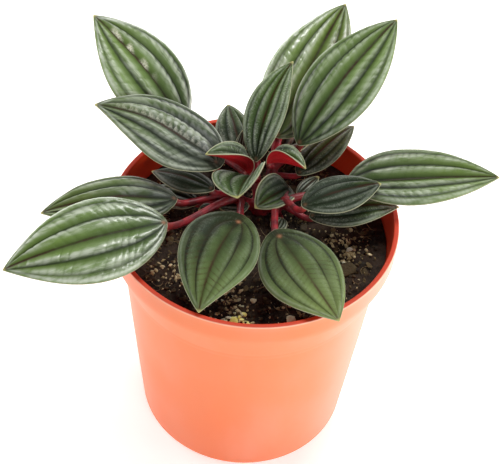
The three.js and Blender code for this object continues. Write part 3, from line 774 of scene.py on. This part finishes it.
def makeBlade(name, leaf, seed, material):
    # A ring of points round the cross-section at every row, closed by a merged base and a point at the tip
    u = (np.arange(leaf["rows"] + 1) / leaf["rows"])[:, None] ** blade["rowPower"]
    s = leaf["length"] * u
    v, face = (row[None, :] for row in bladeSection(leaf))
    wide = leaf["width"] / 2 * outline(u, leaf["wide"]) + blade["least"]
    thick = blade["thickness"] + (blade["marginThickness"] - blade["thickness"]) * np.abs(v) ** 3
    margin = fromMargin(leaf, u, v, wide)
    swell = np.minimum(1, blade["ends"][0] * u) * np.minimum(1, blade["ends"][1] * (1 - u))
    relief, silver, crest, crease, far = bladeRelief(leaf, s, v, wide, margin, swell, seed)
    lift = relief + face * thick / 2 * (1 - blade["tipThinning"] * u ** 6)
    points = bladeSurface(leaf, u, v, lift)
    rows, columns = points.shape[:2]
    under = step(-face, -0.15, 0.15) + 0 * u
    edgeLine = marking["edgeLine"][0] + marking["edgeLine"][1] * leaf["young"]
    stripPlace, stripWidth = marking["strip"]
    stronger, broader = (share * leaf["dull"] * (v < 0) for share in marking["boldStrip"])
    # painted highlight line along the margin, where it bends down
    strip = leaf["strip"] * (1 + stronger) * bell(margin - stripPlace, stripWidth + broader) * step(u, 0, 0.1)
    fromBase = np.linalg.norm(points - np.array(leaf["at"], float), axis=-1)
    layers = {
        "bladePlace": (0.1 * s + seed, 0.1 * wide * v, under),
        "bladeForm": (veinMark(leaf, v, wide), crest, 1 - step(margin, 0.4 * edgeLine, edgeLine)),
        # tone, with painted shade on leaves among others, lighter towards the tip, and lighter on one half as
        # painted light
        "bladeTone": (leaf["tone"] + marking["tipLight"] * (u - 0.5) + leaf["lean"] * v, leaf["young"],
                      leaf["join"] * bell(fromBase, marking["joinSize"] * leaf["petiole"]) * (1 - under)),
        "bladeLines": (bell(np.abs(v) * wide, marking["midrib"]) * step(u, 0.1, 0.4), crease,
                       step(leaf["length"] - s, *marking["tipSpot"]) * 0.8),
        # the second mark is painted highlight on the wedge facets
        "bladeTint": (leaf["yellow"] * (0.3 + u), facetMark(leaf, u, s, v, wide, seed), silver),
        # painted shade on the far slopes, and the painted highlight line along the margin
        "bladeSheen": (leaf["sheen"], far, strip),
    }
    marks = {}
    for key, parts in layers.items():
        values = np.stack([part * np.ones_like(relief) for part in parts], -1)
        marks[key] = np.concatenate([values.reshape(-1, 3), values[-1].mean(0)[None]])
    faces = [ringFaces(rows, columns), fan((rows - 1) * columns, columns, rows * columns)]
    points = np.concatenate([points.reshape(-1, 3), points[-1].mean(0)[None]])
    piece = newPiece(name + "_blade", points, faces, material, marks, merge=True)
    partOf(piece, "leaf", name)


# Crown: stem, shoots and petioles

crown = {
    "stem": (3.8, 1.0),   # radius, and how old and brown it is
    "shoot": (2.4, 0.35),
    "shootSteps": 30,
    "petioleAge": 0.85,   # how much browner and darker its lower end is: partly age, partly painted shade of the crowded middle
    "petioleSwell": (0.45, 0.12),    # how much thicker it is at its foot and at its top
    "voxel": 0.42,        # the tubes are fused at this size, then smoothed
    "smoothing": 0.5,
    "smoothings": 5,
    "sides": 16,
    "spread": 0.25,       # how far a petiole leads out of its shoot before it bends, as a share of its length
    "approach": 0.35,     # and how far it leads straight to its blade
    "stopShort": 0.35,    # how far from its blade it ends, in its own radii
    "shoots": {
        "main": ((2, 12, 88), (2, 12, 96), (2, 12, 104), (2, 13, 108)),
        "top": ((2, 12, 103), (1, 14, 109), (0, 17, 114)),
        "left": ((2, 12, 104), (-6, 10, 108), (-10, 8, 115)),
        "right": ((2, 12, 104), (9, 9, 108), (13, 7, 114)),
        "back": ((2, 12, 104), (5, 20, 109), (6, 26, 114)),
    },
}


def shootPath(points, count=41):
    # A Catmull-Rom curve whose knots are the square roots of the distances: each stretch is a Hermite curve
    p = np.array(points, float)
    p = np.concatenate([[2 * p[0] - p[1]], p, [2 * p[-1] - p[-2]]])
    t = np.linspace(0, len(points) - 1, count)
    i = np.minimum(t.astype(int), len(points) - 2)
    w = (t - i)[:, None]
    a, b, c, d = p[i], p[i + 1], p[i + 2], p[i + 3]
    ab, bc, cd = (np.linalg.norm(q, axis=1, keepdims=True) ** 0.5 for q in (b - a, c - b, d - c))
    start = ((b - a) / ab - (c - a) / (ab + bc) + (c - b) / bc) * bc
    finish = ((c - b) / bc - (d - b) / (bc + cd) + (d - c) / cd) * bc
    return (b + start * w + (3 * (c - b) - 2 * start - finish) * w ** 2
            + (2 * (b - c) + start + finish) * w ** 3)


def petiolePath(leaf, count=26):
    # A cubic Bezier from the shoot, out and up, to the blade's base
    shoot = shootPath(crown["shoots"][leaf["stem"]])
    root = shoot[np.argmin(np.abs(shoot[:, 2] - leaf["root"]))]
    near = ((0.02, 0), (0.08, 0), (0.02, 1))   # the blade's base, a point ahead of it and one above it
    base, ahead, above = (bladeSurface(leaf, [u], [0.0], [lift])[0] for u, lift in near)
    along = (ahead - base) / np.linalg.norm(ahead - base)
    arrival = along * math.cos(degrees(leaf, "bend")) + (above - base) * math.sin(degrees(leaf, "bend"))
    arrival /= np.linalg.norm(arrival)
    end = base - arrival * crown["stopShort"] * leaf["petiole"]
    span = np.linalg.norm(end - root)
    out = (end - root) * [1, 1, 0] * crown["spread"]
    first = root + out + [0, 0, crown["spread"] * span]
    second = end - arrival * crown["approach"] * span
    t = np.linspace(0, 1, count)[:, None]
    return (1 - t) ** 3 * root + 3 * t * (1 - t) ** 2 * first + 3 * t ** 2 * (1 - t) * second + t ** 3 * end


def tube(path, radius, sides):
    # A ring of the given radius round each point of a path, square to it, with both ends closed by a fan
    heading = np.gradient(path, axis=0)
    heading /= np.linalg.norm(heading, axis=1, keepdims=True)
    chord = path[-1] - path[0]
    level = np.cross(chord, [0, 0, 1]) if np.linalg.norm(chord[:2]) > 1 else np.array([1.0, 0, 0])
    side = level - heading * (heading @ level)[:, None]
    side /= np.linalg.norm(side, axis=1, keepdims=True)
    third = np.cross(heading, side)
    angle = np.linspace(0, turn, sides, endpoint=False)[None, :, None]
    spokes = np.cos(angle) * side[:, None] + np.sin(angle) * third[:, None]
    return closed(path[:, None] + radius[:, None, None] * spokes, path[[0, -1]])


def crownParts():
    # Every tube's path, radii and age, which at the petioles' feet is also painted shade, and how near each
    # point is to a blade; all taper at the upper end
    parts = []
    for name, points in crown["shoots"].items():
        path = shootPath(points, crown["shootSteps"])
        t = np.linspace(0, 1, len(path))
        radius, age = crown["stem" if name == "main" else "shoot"]
        radii = radius * (1 + 0.05 * np.sin(9 * t + len(name))) * np.minimum(1, 0.35 + 5 * (1 - t)) ** 0.5
        parts.append((path, radii, age + 0 * t, 0 * t))
    foot, top = crown["petioleSwell"]
    for leaf in leaves.values():
        path = petiolePath(leaf)
        t = np.linspace(0, 1, len(path))
        radii = leaf["petiole"] * (0.96 + foot * (1 - t) ** 5 + top * t ** 6 + 0.02 * np.sin(14 * t))
        radii = radii * np.minimum(1, 0.55 + 6 * (1 - t)) ** 0.5
        parts.append((path, radii, crown["petioleAge"] * (1 - t) ** 2, t ** 9))
    return parts


def makeCrown(material):
    # All the tubes in one mesh, fused on a voxel grid and smoothed; each point then takes the age, with the
    # painted shade at the petioles' feet, and the tip of the nearest point of the tubes' paths
    parts = crownParts()
    points, faces, start = [], [], 0
    for path, radii, _, _ in parts:
        tubePoints, tubeFaces = tube(path, radii, crown["sides"])
        points.append(tubePoints)
        faces.extend(face + start for face in tubeFaces)
        start += len(tubePoints)
    rough = newPiece("crown_rough", np.concatenate(points), faces, material)
    fuse = rough.modifiers.new("fuse", "REMESH")
    fuse.mode = "VOXEL"
    fuse.voxel_size = crown["voxel"] * mm
    even = rough.modifiers.new("even", "SMOOTH")
    even.factor = crown["smoothing"]
    even.iterations = crown["smoothings"]
    ready = rough.evaluated_get(bpy.context.evaluated_depsgraph_get())
    fused = np.zeros(len(ready.data.vertices) * 3, np.float32)
    ready.data.vertices.foreach_get("co", fused)
    fused = fused.reshape(-1, 3) / mm
    quads = np.zeros(len(ready.data.loops), np.int32)
    ready.data.loops.foreach_get("vertex_index", quads)
    bpy.data.objects.remove(rough)
    samples = np.concatenate([path for path, *_ in parts])
    facts = np.concatenate([np.stack([old, tip, 0 * tip], -1) for *_, old, tip in parts])
    nearest = np.concatenate([np.argmin(((chunk[:, None] - samples) ** 2).sum(-1), axis=1)
                              for chunk in np.array_split(fused, 1 + len(fused) // 4000)])
    piece = newPiece("crown_stalks", fused, [quads.reshape(-1, 4)], material, {"stalk": facts[nearest]})
    partOf(piece, "crown", "crown")


# Pot

pot = {
    "footRadius": 45.5, "collarHeight": 24, "collarFlare": 5.3, "lipWidth": 2.2, "lipHeight": 9, "wall": 1.5,
    "hub": 0.5, "padRadius": 14, "footRing": 4.5, "floorLift": 2.2,
    "drainRadius": 3.5, "drainCount": 6, "drainReach": 8,
    "sides": 220, "drainSides": 40,
    "wallRings": (20, 40, 60),
    "ledge": 86,          # height of a faint step in the wall, just under the collar
    "ledgeDepth": 0.2,
    "ledgeRise": 0.4,
    "lipRing": 4,         # a ring of points this far under the brim
    "collarRound": 6,     # how softly the wall turns into the collar and the collar into the lip
    "lipRound": 0.6,
    "footRound": 0.5,
}
rim, brim = rimRadius / mm, potHeight / mm
collarFoot = brim - pot["collarHeight"]


def rounded(points, radius, steps=5):
    # A profile with each inner corner replaced by a curve: a quadratic Bezier between points a radius away
    # from it; the radius is one number, or one for each corner
    p = np.array(points, float)
    parts = [p[:1]]
    t = np.linspace(0, 1, steps)[:, None]
    for before, corner, after, wish in zip(p[:-2], p[1:-1], p[2:], np.broadcast_to(radius, len(p) - 2)):
        a, b = before - corner, after - corner
        near = min(wish, 0.45 * np.linalg.norm(a), 0.45 * np.linalg.norm(b))
        start, finish = corner + a / np.linalg.norm(a) * near, corner + b / np.linalg.norm(b) * near
        parts.append((1 - t) ** 2 * start + 2 * t * (1 - t) * corner + t ** 2 * finish)
    return np.concatenate([*parts, p[-1:]])


def wallRadius(height):
    # A straight line from the foot's radius to the collar's
    return pot["footRadius"] + (rim - pot["collarFlare"] - pot["footRadius"]) * height / collarFoot


def insideProfile(clearance):
    # From the middle of the pot's floor to the foot of its straight lip
    pad, lift = pot["padRadius"], pot["floorLift"]
    low = pot["wall"] + clearance
    ring = pot["footRadius"] - pot["footRing"] - lift

    def inner(height):
        return wallRadius(height) - pot["wall"] - clearance
    return [[pot["hub"], low], [pad, low], [pad + lift, lift + low], [ring, lift + low],
            [ring + lift, low], [inner(low) - 1, low], [inner(low + 1), low + 1],
            [inner(collarFoot), collarFoot], [rim - pot["lipWidth"] - clearance, brim - pot["lipHeight"]]]


def makePot(material):
    # The outside and the inside as one profile, carried round; inner marks the inside and the lip, edge the
    # outer edge of the lip
    foot, pad, lift, ledge = (pot[key] for key in ("footRadius", "padRadius", "floorLift", "ledge"))
    ring = foot - pot["footRing"]
    lower = [[pot["hub"], 0], [pad, 0], [pad + lift, lift], [ring - lift, lift], [ring, 0], [foot - 1, 0],
             [foot, 1], *([wallRadius(height), height] for height in pot["wallRings"]),
             [wallRadius(ledge) - pot["ledgeDepth"], ledge - pot["ledgeRise"]],
             [wallRadius(ledge), ledge + pot["ledgeRise"]]]
    upper = [[wallRadius(collarFoot), collarFoot], [rim, brim - pot["lipHeight"]],
             [rim, brim - pot["lipRing"]], [rim, brim], [rim - pot["lipWidth"], brim]]
    inside = insideProfile(0)[::-1]
    softness = [pot["collarRound"]] * 2 + [pot["lipRound"]] * 3
    collar = rounded([lower[-1], *upper, inside[0]], softness, 9)
    profile = np.concatenate([rounded(lower, pot["footRound"])[:-1], collar[1:-1],
                              rounded(inside, pot["footRound"])])
    points, faces = revolved(profile, pot["sides"])
    radius = np.hypot(points[:, 0], points[:, 1])
    level = points[:, 2]
    onWall = wallRadius(np.minimum(level, collarFoot))
    flare = (rim - onWall) * np.clip((level - collarFoot) / (pot["collarHeight"] - pot["lipHeight"]), 0, 1)
    inner = step(onWall + flare - radius, 0.35, 0.6) * (level > 4)
    edge = step(radius, rim - 0.5, rim - 0.2) * step(level, brim - 0.7, brim - 0.25)
    inner = np.maximum(inner, step(level, brim - 0.3, brim - 0.02) * (radius < rim - 0.2))
    marks = {"wall": np.stack([inner, edge, level / brim], -1)}
    shell = newPiece("pot_shell", points, faces, material, marks)
    cutDrains(shell)
    partOf(shell, "pot", "pot")


def cutDrains(shell):
    # Round holes in the raised band of the floor, cut by plain rods that are then removed
    place = (pot["padRadius"] + pot["footRadius"] - pot["footRing"]) / 2
    rods = []
    for i in range(pot["drainCount"]):
        angle = turn * (i + 0.5) / pot["drainCount"]
        profile = np.array([[pot["drainRadius"], -1.0], [pot["drainRadius"], pot["drainReach"]]])
        points, faces = revolved(profile, pot["drainSides"])
        points = points + [place * math.cos(angle), place * math.sin(angle), 0]
        rods.append(newPiece("rod", points, faces, shell.data.materials[0]))
        cut = shell.modifiers.new("drain", "BOOLEAN")
        cut.operation = "DIFFERENCE"
        cut.solver = "EXACT"
        cut.object = rods[-1]
    ready = shell.evaluated_get(bpy.context.evaluated_depsgraph_get())
    shell.data = bpy.data.meshes.new_from_object(ready)
    shell.modifiers.clear()
    for rod in rods:
        bpy.data.objects.remove(rod)


# Soil

soil = {
    "level": 99.5, "moundHeight": 2.6, "moundRadius": 17, "wave": 0.7, "calm": 4, "clearance": 0.3,
    "stem": (2, 12, 88), "holeRadius": 4.1, "holeSteps": 8,
    "sides": 260, "rings": 110, "wallSteps": 14,
    "crumble": 0.75,      # height of the fine unevenness
    "seed": 11, "barkCount": 20, "barkSize": (3, 7), "barkThickness": 1.9,
    "perliteCount": 12, "perliteSize": (1.1, 2.2), "reach": 47,
    "stemGap": 2, "bitGap": 1.5,     # bare ground between the stem and the big and the small bits
    "bitReach": 48, "farReach": 50, "bitLift": 0.1,
    "bloomed": 0.2,       # the share of bits with a bloom
    "chipSize": (0.62, 0.5),         # a bark chip's half length and half thickness, as shares of its sizes
}
allOver = {  # bits all over the ground: their number, sizes, flatness, paint, unevenness, mesh and squareness
    "soil_chips": (120, (0.7, 2.1), 0.3, "bark", 0.25, (4, 8), 0.6),
    "soil_lumps": (1400, (0.45, 1.3), 0.8, "peat", 0.25, (3, 7), 1.0),
    "soil_grit": (420, (0.2, 0.6), 0.8, "tan", 0.2, (3, 6), 1.0),
}
clustered = {  # bits in clusters: number in each, sizes, paint, mesh, and every cluster's x, y and spread
    "soil_pale_bits": (10, (0.4, 1.4), "perlite", (6, 10), (
        (-8, -46, 5), (-4, -38, 7), (-34, 29, 5), (34, -12, 6))),
    "soil_tan_bits": (60, (0.25, 1.05), "tan", (4, 8), (
        (-6, -42, 9), (37, -7, 7), (39, -2, 9), (-35, 27, 7), (-28, -22, 12), (20, -36, 12), (-8, -33, 8))),
    "soil_moss_bits": (6, (0.9, 2.1), "moss", (7, 12), ((-1, -45, 2.5), (-35, 31, 3))),
}


def fromStem(x, y):
    # The distance from the stem's axis
    return np.hypot(x - soil["stem"][0], y - soil["stem"][1])


def soilHeight(x, y):
    # Level ground plus a mound round the stem, exp(-(distance / radius) squared), plus slow waves
    mound = soil["moundHeight"] * bell(fromStem(x, y), soil["moundRadius"])
    wave = np.sin(0.23 * x + 1.1) * np.cos(0.19 * y - 0.4) + 0.6 * np.sin(0.41 * x - 0.37 * y)
    return soil["level"] + mound + soil["wave"] * wave


def fineHeight(x, y):
    # The ground with its crumbs: the slow form plus soft lumps, sharp little ridges and a fine grain
    lumps = ripple(x, y, 5, 1.3) * 0.6 + np.abs(ripple(x, y, 6, 2.6)) * 0.5 + ripple(x, y, 7, 4.6) * 0.25
    return soilHeight(x, y) + soil["crumble"] * lumps


def onGround(x, y):
    return np.stack([x, y, fineHeight(x, y)], -1)


def makeGround(material):
    # One run of rings from the middle of the underside, up the side, over the ground and down the stem's hole
    inside = insideProfile(soil["clearance"])
    foot, top = inside[-2:]
    edge = foot[0] + (top[0] - foot[0]) * (soil["level"] - foot[1]) / (top[1] - foot[1])
    rise = np.linspace(0.02, 1, soil["wallSteps"])[:, None]
    wall = np.array(foot) + (np.array([edge, soil["level"]]) - foot) * rise
    lower = spun(np.concatenate([rounded(inside[:-1], 0.4)[:-1], wall[:-1]]), soil["sides"])
    angle = np.linspace(0, turn, soil["sides"], endpoint=False)[None, :]
    ring = np.stack([np.cos(angle), np.sin(angle)], -1)
    inward = np.linspace(0, 1, soil["rings"])[:, None, None]
    flat = edge * ring * (1 - inward) + (np.array(soil["stem"][:2]) + soil["holeRadius"] * ring) * inward
    x, y = flat[..., 0], flat[..., 1]
    calm = np.clip((edge - np.hypot(x, y)) / soil["calm"], 0, 1)
    slow = calm * (soilHeight(x, y) - soil["level"])
    fine = np.minimum(1, calm * 3) * (fineHeight(x, y) - soilHeight(x, y))
    upper = np.stack([x, y, soil["level"] + slow + fine], -1)
    depth = np.linspace(0, 1, soil["holeSteps"])[1:, None]
    hole = np.repeat(upper[-1:], len(depth), axis=0)
    hole[..., 2] = hole[..., 2] * (1 - depth) + (soil["stem"][2] - soil["clearance"]) * depth
    rings = np.concatenate([lower, upper, hole])
    piece = newPiece("soil_ground", *closed(rings, [rings[0].mean(0), rings[-1].mean(0)]), material)
    partOf(piece, "soil", "soil")


def pebble(rows, columns):
    # A unit ball as rings of points between two poles
    polar = np.linspace(0, math.pi, rows + 2)[1:-1]
    return closed(spun(np.stack([np.sin(polar), np.cos(polar)], -1), columns), [[0, 0, 1.0], [0, 0, -1.0]])


def turned(tilts):
    # Rotation matrices from rows of three angles, about x, y and z in that order
    cx, cy, cz = np.cos(tilts).T
    sx, sy, sz = np.sin(tilts).T
    return np.stack([np.stack([cy * cz, sx * sy * cz - cx * sz, cx * sy * cz + sx * sz], -1),
                     np.stack([cy * sz, sx * sy * sz + cx * cz, cx * sy * sz - sx * cz], -1),
                     np.stack([-sy, sx * cy, cx * cy], -1)], 1)


def shades(draw, count, bloomed):
    # The marks of loose bits: a random shade each, and a bloom on some
    shade = draw.uniform(0, 1, count)
    bloom = draw.uniform(0, 1, count) > 1 - bloomed if bloomed else np.zeros(count)
    return np.stack([shade, bloom, np.zeros(count)], -1)


def heap(name, mesh, sizes, tilts, places, material, seed, lumpy, square):
    # Many copies of a pebble in one mesh: squared off by raising each coordinate to a power, made uneven by
    # waves of their own, stretched to sizes, turned, and moved to their places
    base, faces = pebble(*mesh)
    count = len(sizes)
    draw = np.random.default_rng(seed)
    form = np.sign(base) * np.abs(base) ** square
    pace, phase = draw.uniform(2, 5, (count, 1, 3)), draw.uniform(0, turn, (count, 1, 3))
    points = form[None] * (1 + lumpy * np.sin(pace * base[None, :, [1, 2, 0]] + phase))
    points = np.einsum("kij,knj->kni", turned(tilts), points * sizes[:, None]) + places[:, None]
    grain = np.repeat(shades(draw, count, soil["bloomed"]), len(base), axis=0)
    piece = newPiece(name, points.reshape(-1, 3), copied(faces, count, len(base)), material, {"grain": grain})
    partOf(piece, "soil")


def crumbDraws():
    # The same row of random numbers as places the bark and perlite of the solid, by multiply and add
    state = soil["seed"]
    while True:
        state = (state * 1664525 + 1013904223) % 2 ** 32
        yield state / 2 ** 32


def crumbPlaces():
    # The big bark chips and perlite grains lie where the solid has them: the sizes, narrowness, tilts and
    # places of both
    draw = crumbDraws()
    found = {True: [], False: []}
    for i in range(soil["barkCount"] + soil["perliteCount"]):
        bark = i < soil["barkCount"]
        least, most = soil["barkSize"] if bark else soil["perliteSize"]
        size = least + (most - least) * next(draw)
        reach = soil["reach"] * math.sqrt(0.04 + 0.96 * next(draw))
        angle = turn * next(draw)
        x, y = reach * math.cos(angle), reach * math.sin(angle)
        if fromStem(x, y) < soil["holeRadius"] - soil["clearance"] + soil["stemGap"] + size:
            continue
        narrow = 0.5 + 0.2 * next(draw) if bark else 1
        tilts = (0.5 * (next(draw) - 0.5), 0.5 * (next(draw) - 0.5), turn * next(draw))
        lift = 0.2 * soil["barkThickness"] if bark else 0.3 * size
        found[bark].append((size, narrow, tilts, (x, y, soilHeight(x, y) + lift)))
    return ([np.array(column) for column in zip(*found[bark])] for bark in (True, False))


def crumble(name, places, draw, sizes, flat, paint, lumpy, mesh, square):
    # One heap of bits with random sizes and tilts, about half sunk in the ground
    size = draw.uniform(*sizes, len(places))
    narrow, low = draw.uniform(0.45, 0.9, len(size)), draw.uniform(0.6, 1, len(size))
    tilts = np.stack([*draw.normal(0, 0.35, (2, len(size))), draw.uniform(0, turn, len(size))], -1)
    stretch = np.stack([size, size * narrow, size * flat * low], -1)
    heap(name, mesh, stretch, tilts, places + [0, 0, soil["bitLift"]], paint, len(name) + 3, lumpy, square)


def scattered(count, seed, reach):
    # Random places on the ground, even over its area, clear of the stem
    draw = np.random.default_rng(seed)
    radius, angle = reach * np.sqrt(draw.uniform(0, 1, count)), draw.uniform(0, turn, count)
    x, y = radius * np.cos(angle), radius * np.sin(angle)
    clear = fromStem(x, y) > soil["holeRadius"] + soil["bitGap"]
    return onGround(x[clear], y[clear]), draw


def makeCrumbs():
    paints = {name: grainPaint(name) for name in grains if name != "fibre"}
    bark, perlite = crumbPlaces()
    size, narrow, tilts, places = bark
    share, thick = soil["chipSize"]
    sizes = np.stack([share * size, share * size * narrow, thick * soil["barkThickness"] + 0 * size], -1)
    heap("soil_bark", (9, 16), sizes, tilts, places, paints["bark"], 1, 0.14, 0.6)
    size, _, tilts, places = perlite
    heap("soil_perlite", (9, 14), np.stack([size] * 3, -1), tilts, places, paints["perlite"], 2, 0.13, 1.0)
    for name, (count, sizes, flat, paint, *form) in allOver.items():
        places, draw = scattered(count, len(name), soil["farReach"])
        crumble(name, places, draw, sizes, flat, paints[paint], *form)
    for name, (count, sizes, paint, mesh, spots) in clustered.items():
        draw = np.random.default_rng(len(name))
        x, y = np.concatenate([np.array([x, y])[:, None] + reach * draw.normal(0, 0.5, (2, count))
                               for x, y, reach in spots], axis=1)
        near = np.hypot(x, y) < soil["bitReach"]
        crumble(name, onGround(x[near], y[near]), draw, sizes, 0.7, paints[paint], 0.3, mesh, 0.75)


fibres = {
    "count": 170, "seed": 31, "length": (2, 8), "thickness": (0.09, 0.2), "bend": 1.3, "lift": (0.5, 1.6),
    "tilt": 0.6, "sides": 3, "steps": 7,
}


def makeFibres(material):
    # Thin bent roots: a three-sided tube, thinner at both ends, along a random arc that lies on the ground
    places, draw = scattered(fibres["count"], fibres["seed"], soil["bitReach"])
    sides, steps, count = fibres["sides"], fibres["steps"], len(places)
    t = np.linspace(-0.5, 0.5, steps)[None, :]
    length, angle = draw.uniform(*fibres["length"], (count, 1)), draw.uniform(0, turn, (count, 1))
    heading = angle + draw.normal(0, fibres["bend"], (count, 1)) * t
    x = places[:, :1] + length * t * np.cos(heading)
    y = places[:, 1:2] + length * t * np.sin(heading)
    lift, tilt = draw.uniform(*fibres["lift"], (count, 1)), draw.normal(0, fibres["tilt"], (count, 1))
    z = soilHeight(x, y) + lift + tilt * t
    ring = np.linspace(0, turn, sides, endpoint=False)
    thick = draw.uniform(*fibres["thickness"], (count, 1, 1)) * (1.15 - 1.6 * np.abs(t))[..., None]
    across = np.stack([-np.sin(heading), np.cos(heading)], -1)
    points = np.stack([x[..., None] + thick * np.cos(ring) * across[..., :1],
                       y[..., None] + thick * np.cos(ring) * across[..., 1:],
                       z[..., None] + thick * np.sin(ring)], -1)
    strand = steps * sides
    one = [ringFaces(steps, sides), np.array([[0, 1, 2]]), np.array([[2, 1, 0]]) + strand - sides]
    grain = np.repeat(shades(draw, count, 0), strand, axis=0)
    faces = copied(one, count, strand)
    partOf(newPiece("soil_fibres", points.reshape(-1, 3), faces, material, {"grain": grain}), "soil")


def makeFloor():
    half, low = 4000, -0.2
    corners = np.array([[-half, -half, low], [half, -half, low], [half, half, low], [-half, half, low]])
    newPiece("floor", corners, [np.array([[0, 1, 2, 3]])], floorPaint())


placeCamera()
lightScene()
makeFloor()
print("camera, light and floor are in place")
makePot(potPaint())
print("pot made")
makeGround(soilPaint())
makeCrumbs()
makeFibres(grainPaint("fibre"))
print("soil made")
leafPaints = {
    "glossy": leafPaint("leaf", 0.2, 0.1, 0.0, "groove"),
    "matt": leafPaint("leaf_matt", 0.1, 1.2, 0.0, "groove"),
    "soft": leafPaint("leaf_soft", 0.1, 1.2, 0.22, "blush"),
}
for number, (leafName, leaf) in enumerate(leaves.items()):
    paintName = leaf.get("paint", "glossy" if leaf["sheen"] > 0.5 else "matt")
    makeBlade(leafName, leaf, number, leafPaints[paintName])
print("blades made:", len(leaves))
makeCrown(crownPaint())
print("crown made")
